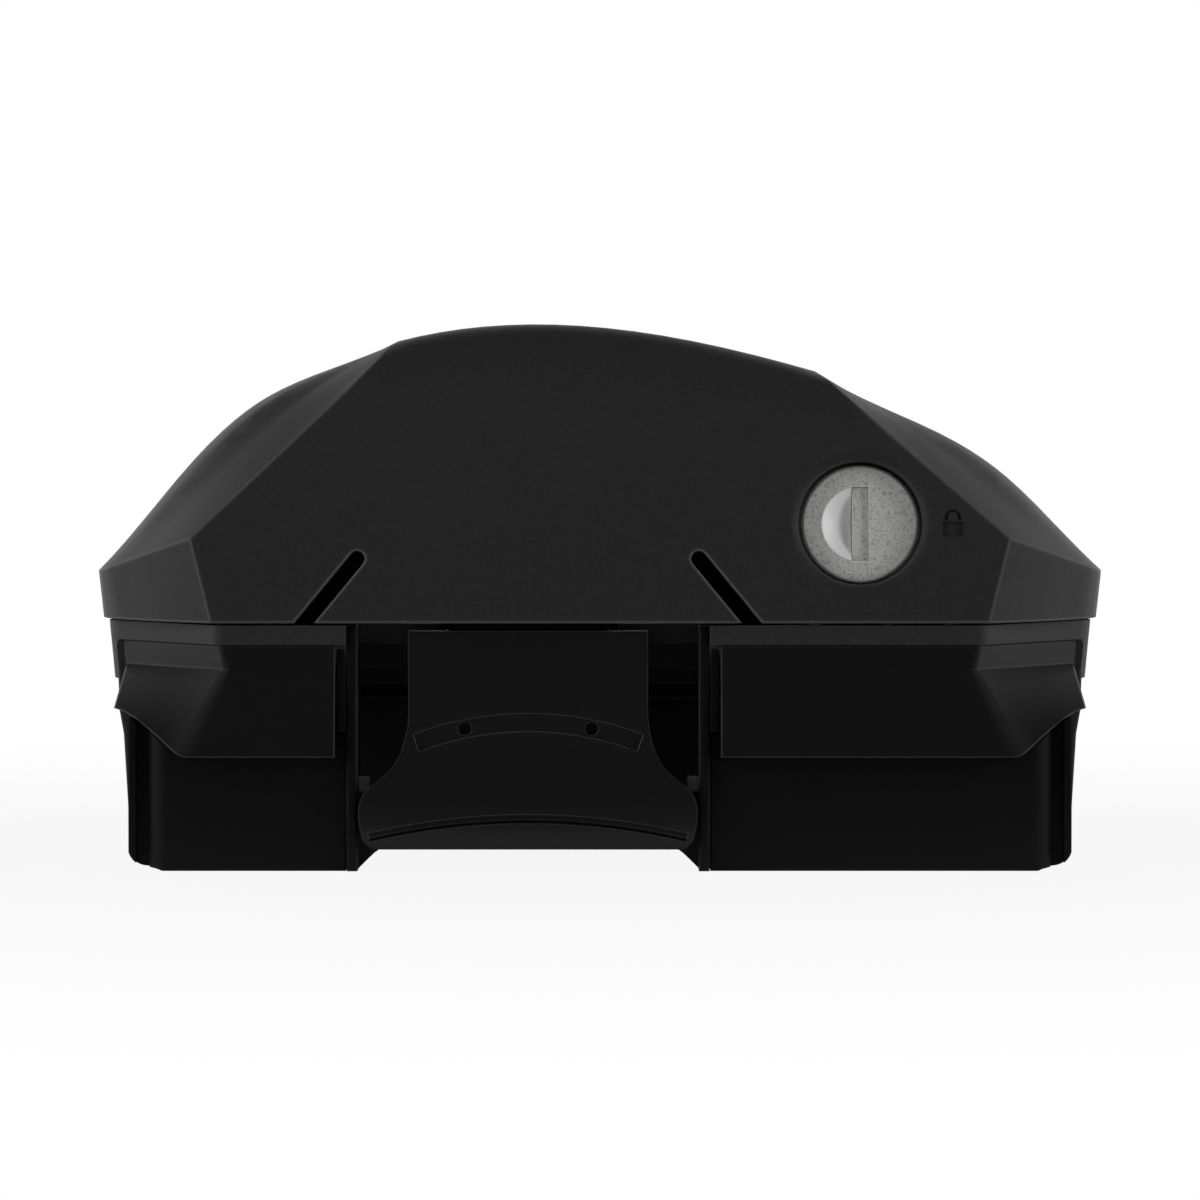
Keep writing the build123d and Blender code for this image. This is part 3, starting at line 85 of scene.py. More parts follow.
def linear(hex_colour: str) -> Colour:
    """Turns an sRGB hex colour into linear light.

    Args:
        hex_colour: Six hex digits with a leading hash.

    Returns:
        Linear red, green, blue and an alpha of one.
    """
    channels = np.array([int(hex_colour[i : i + 2], 16) for i in (1, 3, 5)]) / 255.0
    low = channels / 12.92
    high = ((channels + 0.055) / 1.055) ** 2.4
    red, green, blue = np.where(channels <= 0.04045, low, high)
    return float(red), float(green), float(blue), 1.0


def node(
    tree: bpy.types.NodeTree, kind: str, inputs: dict[str | int, Any] | None = None, **settings: Any
) -> bpy.types.Node:
    """Adds one node with its settings, values and links.

    Args:
        tree: Node tree that the node joins.
        kind: Blender's name of the node class.
        inputs: Input name or index to a value, or to the socket that feeds it.
        **settings: Properties of the node.

    Returns:
        The new node.
    """
    made = tree.nodes.new(kind)
    for name, value in settings.items():
        setattr(made, name, value)
    for name, value in (inputs or {}).items():
        if isinstance(value, bpy.types.NodeSocket):
            tree.links.new(value, made.inputs[name])
        else:
            made.inputs[name].default_value = value
    return made


def grain_scale(size_mm: float) -> float:
    """Noise scale, in cells a metre, of a grain of one size in millimetres."""
    return 1.0 / (size_mm * MM)


def add_piece(
    title: str, points: np.ndarray, faces: list[list[int]], material: bpy.types.Material
) -> bpy.types.Object:
    """Adds one mesh to the scene, at the origin and unturned.

    Args:
        title: Name of the piece.
        points: X, Y and Z of each point, in metres.
        faces: Point numbers of each face, outward side anticlockwise.
        material: The piece's finish.

    Returns:
        The new object.
    """
    mesh = bpy.data.meshes.new(title)
    mesh.from_pydata(points.tolist(), [], faces)
    mesh.materials.append(material)
    piece = bpy.data.objects.new(title, mesh)
    bpy.context.scene.collection.objects.link(piece)
    return piece


@dataclass(frozen=True)
class Ground:
    """Start of a material: its tree, the part's coordinates, the broken edges' normal and their painted
    highlight.
    """

    material: bpy.types.Material
    tree: bpy.types.NodeTree
    place: Socket
    normal: Socket
    edge_highlight: Socket


@dataclass(frozen=True)
class Finish(ABC):
    """What every finish shares: its name, the radius of its broken edges and the painted highlight they take.

    An edge takes its painted highlight by the cosine between its rounded normal and the flat one. Round a
    sharp spot, given by its centre and its reach, edges get no painted highlight.
    """

    name: str
    edge: Edge
    edge_highlight_colour: str
    edge_highlight_share: float
    sharp_spot_mm: tuple[float, float, float, float] | None = field(default=None, kw_only=True)
    edge_samples: int = field(default=8, kw_only=True)
    no_highlight_cosine: float = field(default=0.996, kw_only=True)
    full_highlight_cosine: float = field(default=0.95, kw_only=True)

    @abstractmethod
    def build(self) -> bpy.types.Material:
        """Builds the material; each kind of finish has its own way."""

    def start(self) -> Ground:
        """Starts a material with the part's own coordinates, softly broken edges and a painted highlight
        along them.

        Returns:
            The material's tree and the sockets that the finish builds on.
        """
        material = bpy.data.materials.new(self.name)
        material.use_nodes = True
        tree = material.node_tree
        tree.nodes.clear()
        place = node(tree, "ShaderNodeTexCoord").outputs["Object"]
        rounded = node(
            tree, "ShaderNodeBevel", {"Radius": self.edge.value * MM}, samples=self.edge_samples
        )
        edge = rounded.outputs["Normal"]
        flat = node(tree, "ShaderNodeNewGeometry").outputs["Normal"]
        if self.sharp_spot_mm:
            *centre, reach = self.sharp_spot_mm
            away = node(
                tree, "ShaderNodeVectorMath", {0: place, 1: Vector(centre) * MM}, operation="DISTANCE"
            )
            clear = node(
                tree, "ShaderNodeMath", {0: away.outputs["Value"], 1: reach * MM}, operation="GREATER_THAN"
            )
            edge = node(
                tree,
                "ShaderNodeMix",
                {"Factor": clear.outputs[0], "A": flat, "B": edge},
                data_type="VECTOR",
            ).outputs["Result"]
        # The edges' pale tone is a painted highlight: it grows as the rounded normal turns away from the flat
        # one.
        turned = node(tree, "ShaderNodeVectorMath", {0: edge, 1: flat}, operation="DOT_PRODUCT")
        edge_highlight = node(
            tree,
            "ShaderNodeMapRange",
            {
                "Value": turned.outputs["Value"],
                "From Min": self.no_highlight_cosine,
                "From Max": self.full_highlight_cosine,
                "To Min": 0.0,
                "To Max": self.edge_highlight_share,
            },
        )
        return Ground(material, tree, place, edge, edge_highlight.outputs["Result"])

    def close(
        self, ground: Ground, colour: Socket, inputs: dict[str | int, Any]
    ) -> bpy.types.Material:
        """Ends a material: the colour pales along broken edges as a painted highlight, and one shader takes
        the given inputs.

        Args:
            ground: Start of the material.
            colour: Colour away from the edges.
            inputs: The shader's other inputs.

        Returns:
            The finished material.
        """
        # Paling the colour towards the edge tone paints a highlight along the edges.
        paled = node(
            ground.tree,
            "ShaderNodeMix",
            {"Factor": ground.edge_highlight, "A": colour, "B": linear(self.edge_highlight_colour)},
            data_type="RGBA",
        )
        shader = node(
            ground.tree, "ShaderNodeBsdfPrincipled", {"Base Color": paled.outputs["Result"], **inputs}
        )
        node(ground.tree, "ShaderNodeOutputMaterial", {"Surface": shader.outputs["BSDF"]})
        return ground.material


@dataclass(frozen=True)
class MouldedPlastic(Finish):
    """Plastic from a mould: a fine even grain that scatters light, with a painted highlight along its edges.

    The real grain is about 0.1 mm, too fine to show, so each one is drawn coarser.
    """

    colour: str
    grain_colour: str
    roughness: float
    shine: float
    grain_mm: float
    grain_height_mm: float
    tone_band: Span = (0.42, 0.72)
    grain_strength: float = 0.6
    cloud_mm: float = 22.0
    gloss_spread: float = 0.03

    def build(self) -> bpy.types.Material:
        """Builds the plastic: moulded grain, faint cloudiness and uneven gloss.

        Returns:
            The finished material.
        """
        ground = self.start()
        tree = ground.tree
        grain = node(
            tree,
            "ShaderNodeTexNoise",
            {
                "Vector": ground.place,
                "Scale": grain_scale(self.grain_mm),
                "Detail": 2.0,
                "Roughness": 0.6,
            },
        )
        cloud = node(
            tree,
            "ShaderNodeTexNoise",
            {
                "Vector": ground.place,
                "Scale": grain_scale(self.cloud_mm),
                "Detail": 3.0,
                "Roughness": 0.5,
            },
        )
        tone = node(
            tree,
            "ShaderNodeMapRange",
            {
                "Value": grain.outputs["Fac"],
                "From Min": self.tone_band[0],
                "From Max": self.tone_band[1],
            },
        )
        colour = node(
            tree,
            "ShaderNodeMix",
            {"Factor": tone.outputs["Result"], "A": linear(self.colour), "B": linear(self.grain_colour)},
            data_type="RGBA",
        )
        gloss = node(
            tree,
            "ShaderNodeMapRange",
            {
                "Value": cloud.outputs["Fac"],
                "From Min": NOISE_MIDDLE[0],
                "From Max": NOISE_MIDDLE[1],
                "To Min": self.roughness - self.gloss_spread,
                "To Max": self.roughness + self.gloss_spread,
            },
        )
        bump = node(
            tree,
            "ShaderNodeBump",
            {
                "Strength": self.grain_strength,
                "Distance": self.grain_height_mm * MM,
                "Height": grain.outputs["Fac"],
                "Normal": ground.normal,
            },
        )
        return self.close(
            ground,
            colour.outputs["Result"],
            {
                "Roughness": gloss.outputs["Result"],
                "Specular IOR Level": self.shine,
                "Normal": bump.outputs["Normal"],
            },
        )


@dataclass(frozen=True)
class MouldedRubber(Finish):
    """Black rubber from a mould: near black, with a low even sheen and a little dull bloom.

    The mould's own grain is too fine to show, so it is drawn coarser.
    """

    colour: str
    bloom_colour: str
    roughness: float
    shine: float
    bloom_mm: float = 9.0
    bloom_band: Span = (0.35, 0.8)
    bloom_share: float = 0.7
    grain_mm: float = 0.7
    grain_height_mm: float = 0.02
    grain_strength: float = 0.25
    gloss_below: float = 0.03
    gloss_above: float = 0.06

    def build(self) -> bpy.types.Material:
        """Builds the rubber: a dull bloom in broad patches over a faint mould grain.

        Returns:
            The finished material.
        """
        ground = self.start()
        tree = ground.tree
        bloom = node(
            tree,
            "ShaderNodeTexNoise",
            {
                "Vector": ground.place,
                "Scale": grain_scale(self.bloom_mm),
                "Detail": 5.0,
                "Roughness": 0.6,
            },
        )
        grain = node(
            tree,
            "ShaderNodeTexNoise",
            {
                "Vector": ground.place,
                "Scale": grain_scale(self.grain_mm),
                "Detail": 2.0,
                "Roughness": 0.5,
            },
        )
        share = node(
            tree,
            "ShaderNodeMapRange",
            {
                "Value": bloom.outputs["Fac"],
                "From Min": self.bloom_band[0],
                "From Max": self.bloom_band[1],
                "To Max": self.bloom_share,
            },
        )
        colour = node(
            tree,
            "ShaderNodeMix",
            {"Factor": share.outputs["Result"], "A": linear(self.colour), "B": linear(self.bloom_colour)},
            data_type="RGBA",
        )
        gloss = node(
            tree,
            "ShaderNodeMapRange",
            {
                "Value": bloom.outputs["Fac"],
                "From Min": NOISE_MIDDLE[0],
                "From Max": NOISE_MIDDLE[1],
                "To Min": self.roughness - self.gloss_below,
                "To Max": self.roughness + self.gloss_above,
            },
        )
        bump = node(
            tree,
            "ShaderNodeBump",
            {
                "Strength": self.grain_strength,
                "Distance": self.grain_height_mm * MM,
                "Height": grain.outputs["Fac"],
                "Normal": ground.normal,
            },
        )
        return self.close(
            ground,
            colour.outputs["Result"],
            {
                "Roughness": gloss.outputs["Result"],
                "Specular IOR Level": self.shine,
                "Normal": bump.outputs["Normal"],
            },
        )


@dataclass(frozen=True)
class Metal(Finish):
    """Bare or plated metal: coloured reflection, uneven gloss, drawn lines and dark specks in the skin.

    The real lines and specks are a few hundredths of a millimetre, so they are drawn coarser to show.
    """

    colour: str
    speck_colour: str
    roughness: float
    gloss_spread: float
    line_mm: float
    line_height_mm: float
    speck_mm: float
    speck_share: float
    mirror: float
    speck_band: Span = (0.56, 0.72)
    line_strength: float = 0.4
    line_stretch: Place = (0.12, 1.0, 1.0)
    cloud_mm: float = 2.6

    def build(self) -> bpy.types.Material:
        """Builds the metal: broad cloudiness, drawn lines along X and fine dark specks.

        Returns:
            The finished material.
        """
        ground = self.start()
        tree = ground.tree
        stretch = node(
            tree, "ShaderNodeMapping", {"Vector": ground.place, "Scale": self.line_stretch}
        )
        lines = node(
            tree,
            "ShaderNodeTexNoise",
            {
                "Vector": stretch.outputs["Vector"],
                "Scale": grain_scale(self.line_mm),
                "Detail": 3.0,
            },
        )
        cloud = node(
            tree,
            "ShaderNodeTexNoise",
            {
                "Vector": ground.place,
                "Scale": grain_scale(self.cloud_mm),
                "Detail": 4.0,
                "Roughness": 0.65,
            },
        )
        specks = node(
            tree,
            "ShaderNodeTexNoise",
            {
                "Vector": ground.place,
                "Scale": grain_scale(self.speck_mm),
                "Detail": 3.0,
                "Roughness": 0.7,
            },
        )
        dark = node(
            tree,
            "ShaderNodeMapRange",
            {
                "Value": specks.outputs["Fac"],
                "From Min": self.speck_band[0],
                "From Max": self.speck_band[1],
                "To Max": self.speck_share,
            },
        )
        colour = node(
            tree,
            "ShaderNodeMix",
            {"Factor": dark.outputs["Result"], "A": linear(self.colour), "B": linear(self.speck_colour)},
            data_type="RGBA",
        )
        gloss = node(
            tree,
            "ShaderNodeMapRange",
            {
                "Value": cloud.outputs["Fac"],
                "From Min": NOISE_MIDDLE[0],
                "From Max": NOISE_MIDDLE[1],
                "To Min": self.roughness - self.gloss_spread,
                "To Max": self.roughness + self.gloss_spread,
            },
        )
        bump = node(
            tree,
            "ShaderNodeBump",
            {
                "Strength": self.line_strength,
                "Distance": self.line_height_mm * MM,
                "Height": lines.outputs["Fac"],
                "Normal": ground.normal,
            },
        )
        return self.close(
            ground,
            colour.outputs["Result"],
            {
                "Metallic": self.mirror,
                "Roughness": gloss.outputs["Result"],
                "Normal": bump.outputs["Normal"],
            },
        )


@dataclass(frozen=True)
class LockFace(Finish):
    """Tumbled zinc alloy: dull grey with dark specks; its dish and rim burnished, with a painted white
    reflection.

    The dish lies on a sphere to the left of the key slot, and the rim outside one radius from the lock's
    axis. The real specks are finer than the render shows, so they are drawn coarser.
    """

    colour: str
    speck_colour: str
    painted_reflection_colour: str
    roughness: float
    polish_roughness: float
    axis_point_mm: Place
    axis: Place
    dish_centre_mm: Place
    dish_radius_mm: float
    dish_right_mm: float
    rim_radius_mm: float
    dish_skin_mm: float = 0.12
    mirror: float = 0.08
    fine_mm: float = 0.5
    broad_mm: float = 2.4
    gloss_spread: float = 0.08
    speck_band: Span = (0.5, 0.74)
    speck_share: float = 0.9
    grain_height_mm: float = 0.02
    grain_strength: float = 0.5

    def polish_and_painted_reflection(self, ground: Ground) -> Socket:
        """Finds the burnished skin of the dish and the rim, which takes a painted white reflection.

        Args:
            ground: Start of the material.

        Returns:
            One where the metal is burnished and painted white, nought elsewhere.
        """
        tree = ground.tree
        from_dish = node(
            tree,
            "ShaderNodeVectorMath",
            {0: ground.place, 1: Vector(self.dish_centre_mm) * MM},
            operation="DISTANCE",
        )
        on_sphere = node(
            tree,
            "ShaderNodeMath",
            {0: from_dish.outputs["Value"], 1: self.dish_radius_mm * MM, 2: self.dish_skin_mm * MM},
            operation="COMPARE",
        )
        across = node(tree, "ShaderNodeSeparateXYZ", {"Vector": ground.place})
        left = node(
            tree,
            "ShaderNodeMath",
            {0: across.outputs["X"], 1: self.dish_right_mm * MM},
            operation="LESS_THAN",
        )
        dish = node(
            tree, "ShaderNodeMath", {0: on_sphere.outputs[0], 1: left.outputs[0]}, operation="MULTIPLY"
        )
        arm = node(
            tree,
            "ShaderNodeVectorMath",
            {0: ground.place, 1: Vector(self.axis_point_mm) * MM},
            operation="SUBTRACT",
        )
        swung = node(
            tree,
            "ShaderNodeVectorMath",
            {0: arm.outputs["Vector"], 1: Vector(self.axis)},
            operation="CROSS_PRODUCT",
        )
        radius = node(
            tree, "ShaderNodeVectorMath", {0: swung.outputs["Vector"]}, operation="LENGTH"
        )
        rim = node(
            tree,
            "ShaderNodeMath",
            {0: radius.outputs["Value"], 1: self.rim_radius_mm * MM},
            operation="GREATER_THAN",
        )
        both = node(
            tree, "ShaderNodeMath", {0: dish.outputs[0], 1: rim.outputs[0]}, operation="MAXIMUM"
        )
        return both.outputs[0]

    def build(self) -> bpy.types.Material:
        """Builds the lock's metal: specked grey, and smooth, clear of specks and painted white where
        burnished: a painted reflection.

        Returns:
            The finished material.
        """
        ground = self.start()
        tree = ground.tree
        polish_and_painted_reflection = self.polish_and_painted_reflection(ground)
        fine = node(
            tree,
            "ShaderNodeTexNoise",
            {
                "Vector": ground.place,
                "Scale": grain_scale(self.fine_mm),
                "Detail": 4.0,
                "Roughness": 0.75,
            },
        )
        broad = node(
            tree,
            "ShaderNodeTexNoise",
            {
                "Vector": ground.place,
                "Scale": grain_scale(self.broad_mm),
                "Detail": 3.0,
                "Roughness": 0.6,
            },
        )
        dark = node(
            tree,
            "ShaderNodeMapRange",
            {
                "Value": fine.outputs["Fac"],
                "From Min": self.speck_band[0],
                "From Max": self.speck_band[1],
                "To Max": self.speck_share,
            },
        )
        specked = node(
            tree,
            "ShaderNodeMix",
            {"Factor": dark.outputs["Result"], "A": linear(self.colour), "B": linear(self.speck_colour)},
            data_type="RGBA",
        )
        # Burnished skin is painted white as a painted reflection; its smoothness and lack of specks are the
        # metal's own.
        colour = node(
            tree,
            "ShaderNodeMix",
            {"Factor": polish_and_painted_reflection, "A": specked.outputs["Result"], "B": linear(self.painted_reflection_colour)},
            data_type="RGBA",
        )
        dull = node(
            tree,
            "ShaderNodeMapRange",
            {
                "Value": broad.outputs["Fac"],
                "From Min": NOISE_MIDDLE[0],
                "From Max": NOISE_MIDDLE[1],
                "To Min": self.roughness - self.gloss_spread,
                "To Max": self.roughness + self.gloss_spread,
            },
        )
        gloss = node(
            tree,
            "ShaderNodeMix",
            {"Factor": polish_and_painted_reflection, "A": dull.outputs["Result"], "B": self.polish_roughness},
        )
        bump = node(
            tree,
            "ShaderNodeBump",
            {
                "Strength": self.grain_strength,
                "Distance": self.grain_height_mm * MM,
                "Height": fine.outputs["Fac"],
                "Normal": ground.normal,
            },
        )
        return self.close(
            ground,
            colour.outputs["Result"],
            {
                "Metallic": self.mirror,
                "Roughness": gloss.outputs["Result"],
                "Normal": bump.outputs["Normal"],
            },
        )


# Glass-filled polyamide from a spark-eroded mould: charcoal with an even grain that breaks up every
# reflection, and a painted highlight along its long edges. Round the padlock symbol, the sharp spot, edges
# get none.
COVER_PLASTIC = MouldedPlastic(
    name="polyamide_spark_eroded",
    edge=Edge.FULL,
    edge_highlight_colour="#6a6a6b",
    edge_highlight_share=0.55,
    colour="#2a2a2b",
    grain_colour="#323233",
    roughness=0.5,
    shine=0.5,
    grain_mm=0.42,
    grain_height_mm=0.05,
    sharp_spot_mm=(60.3, -45.6, 59.2, 3.5),
)
# The same polyamide on the housing: a shade lighter, with tighter edges.
HOUSING_PLASTIC = MouldedPlastic(
    name="polyamide_spark_eroded_housing",
    edge=Edge.CRISP,
    edge_highlight_colour="#5a5a5b",
    edge_highlight_share=0.4,
    colour="#2e2e2f",
    grain_colour="#363637",
    roughness=0.52,
    shine=0.5,
    grain_mm=0.42,
    grain_height_mm=0.04,
)
# Smooth polypropylene: near black, with a satin sheen that brightens where a face turns to the side light.
FLAP_PLASTIC = MouldedPlastic(
    name="polypropylene_satin",
    edge=Edge.SOFT,
    edge_highlight_colour="#4a4a4b",
    edge_highlight_share=0.4,
    colour="#0d0d0e",
    grain_colour="#101011",
    roughness=0.42,
    shine=0.75,
    grain_mm=0.5,
    grain_height_mm=0.015,
)
# Polyamide from a plain mould: dark, satin, with thin painted highlights along its sharp edges.
JAW_PLASTIC = MouldedPlastic(
    name="polyamide_satin",
    edge=Edge.CRISP,
    edge_highlight_colour="#5a5a5b",
    edge_highlight_share=0.5,
    colour="#161617",
    grain_colour="#1a1a1b",
    roughness=0.44,
    shine=0.5,
    grain_mm=0.5,
    grain_height_mm=0.02,
)
# EPDM from a polished mould: black and smooth, with a soft sheen.
SHOE_RUBBER = MouldedRubber(
    name="epdm_polished_mould",
    edge=Edge.SOFT,
    edge_highlight_colour="#2a2a2a",
    edge_highlight_share=0.3,
    colour="#0c0c0c",
    bloom_colour="#0f0f0f",
    roughness=0.54,
    shine=0.33,
)
# EPDM from a blasted mould: dull black that takes no reflection.
PAD_RUBBER = MouldedRubber(
    name="epdm_matt_mould",
    edge=Edge.SOFT,
    edge_highlight_colour="#262626",
    edge_highlight_share=0.3,
    colour="#121212",
    bloom_colour="#191919",
    roughness=0.7,
    shine=0.35,
)
# Bright zinc plating: silvery white with faint drawn lines and darker spangles. Its milky skin scatters
# much of the light, so it is only partly metallic.
ZINC_STEEL = Metal(
    name="steel_bright_zinc",
    edge=Edge.CRISP,
    edge_highlight_colour="#f2f2f2",
    edge_highlight_share=0.4,
    colour="#ececea",
    speck_colour="#c4c3c0",
    roughness=0.3,
    gloss_spread=0.06,
    line_mm=0.35,
    line_height_mm=0.01,
    speck_mm=0.9,
    speck_share=0.6,
    mirror=0.35,
)
# Drawn spring steel: grey, with a painted highlight along its edges and fine lines along the wire.
SPRING_STEEL = Metal(
    name="steel_drawn_spring",
    edge=Edge.CRISP,
    edge_highlight_colour="#c0c0c0",
    edge_highlight_share=0.4,
    colour="#a3a4a5",
    speck_colour="#6f6f6f",
    roughness=0.32,
    gloss_spread=0.05,
    line_mm=0.2,
    line_height_mm=0.008,
    speck_mm=0.5,
    speck_share=0.5,
    mirror=1.0,
)
# Tumbled aluminium die casting: pale grey and frosty, with a painted highlight along its rounded edges.
CAST_ALLOY = Metal(
    name="aluminium_tumbled_casting",
    edge=Edge.SOFT,
    edge_highlight_colour="#d0d0d1",
    edge_highlight_share=0.4,
    colour="#b4b5b7",
    speck_colour="#8d8e90",
    roughness=0.46,
    gloss_spread=0.05,
    line_mm=0.8,
    line_height_mm=0.015,
    speck_mm=0.6,
    speck_share=0.5,
    mirror=1.0,
)
# Tumbled zinc alloy: stony grey with dark specks, a painted white highlight along its edges and a painted
# white reflection in its burnished dish and rim. The tumbled skin is so dull that it hardly looks metallic.
LOCK_ZINC = LockFace(
    name="zinc_alloy_tumbled",
    edge=Edge.CRISP,
    edge_highlight_colour="#ffffff",
    edge_highlight_share=0.95,
    colour="#d8d8d6",
    speck_colour="#45443f",
    # The white of the dish and rim is a painted reflection.
    painted_reflection_colour="#ffffff",
    roughness=0.44,
    polish_roughness=0.3,
    axis_point_mm=(44.5, -45.4881, 59.8),
    axis=(0.0, -0.992546, 0.121869),
    dish_centre_mm=(44.15, -49.812, 60.331),
    dish_radius_mm=9.557,
    dish_right_mm=43.05,
    rim_radius_mm=9.55,
)
# Stamped brass: warm yellow, with a painted highlight at the sheared edges.
LOCK_BRASS = Metal(
    name="brass_wafer",
    edge=Edge.CRISP,
    edge_highlight_colour="#d8bd78",
    edge_highlight_share=0.4,
    colour="#b89a55",
    speck_colour="#8a7038",
    roughness=0.34,
    gloss_spread=0.05,
    line_mm=0.2,
    line_height_mm=0.006,
    speck_mm=0.5,
    speck_share=0.5,
    mirror=1.0,
)


@dataclass(frozen=True)
class WeldedCopy:
    """A node's copy with the doubled points merged, so that its bands shade as one.

    With a far body, the copy is fixed in place and rides on no body.
    """

    source: str
    title: str
    body: str
    slot: str
    crease_deg: float
    far_body: str | None = None
    weld_mm: float = 0.002

    def merged(self, mesh: bpy.types.Mesh) -> tuple[np.ndarray, np.ndarray]:
        """Merges the points of a mesh of loose triangles by rounding them to one small cell.

        Args:
            mesh: The node's mesh.

        Returns:
            The points left and the three point numbers of each triangle.
        """
        places = np.empty(len(mesh.vertices) * 3)
        mesh.vertices.foreach_get("co", places)
        places = places.reshape(-1, 3)
        corners = np.empty(len(mesh.loops), dtype=np.int64)
        mesh.loops.foreach_get("vertex_index", corners)
        cells = np.round(places / (self.weld_mm * MM)).astype(np.int64)
        _, first, back = np.unique(cells, axis=0, return_index=True, return_inverse=True)
        faces = back.reshape(-1)[corners].reshape(-1, 3)
        whole = np.all(faces != np.roll(faces, 1, axis=1), axis=1)
        return places[first], faces[whole]

    def build(self) -> None:
        """Makes the copy in the finish that its node has, in its place, on the node's body unless it has a
        far body.
        """
        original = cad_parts[self.source]
        points, faces = self.merged(original.data)
        piece = add_piece(self.title, points, faces.tolist(), original.data.materials[0])
        piece.data.shade_smooth()
        piece.data.set_sharp_from_angle(angle=math.radians(self.crease_deg))
        even = piece.modifiers.new("even_normals", "WEIGHTED_NORMAL")
        even.mode = "FACE_AREA"
        even.keep_sharp = True
        if self.far_body:
            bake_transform(piece)
        else:
            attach(piece, self.body)
        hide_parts(self.source)
        LOG.info("%s: %d points, %d triangles", self.title, len(points), len(faces))


@dataclass(frozen=True)
class LegLip:
    """Rubber lip along the front edge of a leg wall: a rounded bar whose edges show as thin light lines."""

    title: str
    from_jaw_mm: Span
    depth_mm: Span
    height_mm: Span
    round_mm: float = 0.32
    corner_points: int = 6
    end_points: int = 5

    def sections(self, centre_mm: float, side: Side, drawn_in: np.ndarray) -> np.ndarray:
        """Rounded rectangles in X and Y, each drawn in by one amount towards the centres of its corners.

        Args:
            centre_mm: X of the middle of the jaw, from which the lip is measured.
            side: Leg that the lip is on.
            drawn_in: How far each section is drawn in, in millimetres.

        Returns:
            X and Y of every point, section by section, anticlockwise from above.
        """
        quarter = np.linspace(0.0, math.pi / 2.0, self.corner_points)
        turn = (np.arange(4)[:, None] * math.pi / 2.0 + quarter).reshape(-1)
        corner = np.repeat(np.array([[1, 1], [-1, 1], [-1, -1], [1, -1]]), len(quarter), axis=0)
        across = centre_mm + side.value * np.array(self.from_jaw_mm)
        ends = np.array([across, self.depth_mm])
        core = np.ptp(ends, axis=1) / 2.0 - self.round_mm
        arc = np.stack([np.cos(turn), np.sin(turn)], axis=-1)
        return ends.mean(axis=1) + corner * core + (self.round_mm - drawn_in)[:, None, None] * arc

    def build(self, centre_mm: float, side: Side, rubber: bpy.types.Material) -> None:
        """Makes the lip: sections carried up along Z, drawn in by a quarter circle at both ends.

        Args:
            centre_mm: X of the middle of the jaw.
            side: Leg that the lip is on.
            rubber: The lip's finish.
        """
        title = f"{side.name.lower()}_{self.title}"
        rise = np.linspace(0.0, math.pi / 2.0, self.end_points)
        climb = self.round_mm * (1.0 - np.cos(rise))
        drawn_in = self.round_mm * (1.0 - np.sin(rise))
        foot, head = self.height_mm
        flat = self.sections(centre_mm, side, np.concatenate([drawn_in, drawn_in[::-1]]))
        levels, count = flat.shape[:2]
        height = np.concatenate([foot + climb, head - climb[::-1]])[:, None, None]
        upright = np.broadcast_to(height, (levels, count, 1))
        points = np.concatenate([flat, upright], axis=-1).reshape(-1, 3) * MM
        around = np.arange(count)
        below = np.arange(levels - 1)[:, None] * count
        here, after = below + around, below + (around + 1) % count
        walls = np.stack([here, after, after + count, here + count], axis=-1).reshape(-1, 4)
        caps = [around[::-1].tolist(), (around + (levels - 1) * count).tolist()]
        lip = add_piece(title, points, walls.tolist() + caps, rubber)
        lip.data.shade_smooth()
        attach(lip, "foot")
        LOG.info("%s: %d points", title, len(points))


@dataclass(frozen=True)
class LegFin:
    """Thin moulded fin that carries the side of the housing down beside the shoe.

    Its outer edge is given by X and Z from the ground up.
    """

    title: str
    depth_mm: Span
    inner_x_mm: float
    outer_mm: tuple[Span, ...]
    round_mm: float = 0.45
    round_steps: int = 3

    def build(self, side: Side, plastic: bpy.types.Material) -> None:
        """Makes the fin: its outline in X and Z carried straight back along Y, with rounded edges.

        Args:
            side: Leg that the fin is on.
            plastic: The fin's finish.
        """
        title = f"{side.name.lower()}_{self.title}"
        outer = np.array(self.outer_mm)
        inner = np.array([[self.inner_x_mm, outer[-1, 1]], [self.inner_x_mm, outer[0, 1]]])
        outline = np.vstack([outer, inner])[:: side.value] * (side.value, 1.0)
        count = len(outline)
        front, back = (np.insert(outline, 1, depth, axis=1) for depth in self.depth_mm)
        around = np.arange(count)
        after = (around + 1) % count
        walls = np.stack([around, around + count, after + count, after], axis=-1)
        caps = [around.tolist(), (around[::-1] + count).tolist()]
        fin = add_piece(title, np.vstack([front, back]) * MM, walls.tolist() + caps, plastic)
        rounding = fin.modifiers.new("rounded_edges", "BEVEL")
        rounding.width = self.round_mm * MM
        rounding.segments = self.round_steps
        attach(fin, "foot")
        LOG.info("%s: %d outline points", title, count)


@dataclass(frozen=True)
class SubAssembly:
    """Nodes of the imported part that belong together, with the finish of each."""

    title: str
    finishes: tuple[tuple[str, Finish], ...]

    def dress(self, built: Materials) -> None:
        """Gives each node its finish.

        Args:
            built: Materials that are ready, by name; new ones are added.
        """
        for name, finish in self.finishes:
            if finish.name not in built:
                built[finish.name] = finish.build()
            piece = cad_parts[name]
            piece.data.materials.clear()
            piece.data.materials.append(built[finish.name])
            LOG.info("%s: %s in %s", self.title, name, finish.name)

    def build(self, built: Materials) -> None:
        """Makes the pieces that the sub-assembly has besides its nodes; a plain one has none.

        Args:
            built: Materials that are ready, by name; not used by a plain sub-assembly.
        """


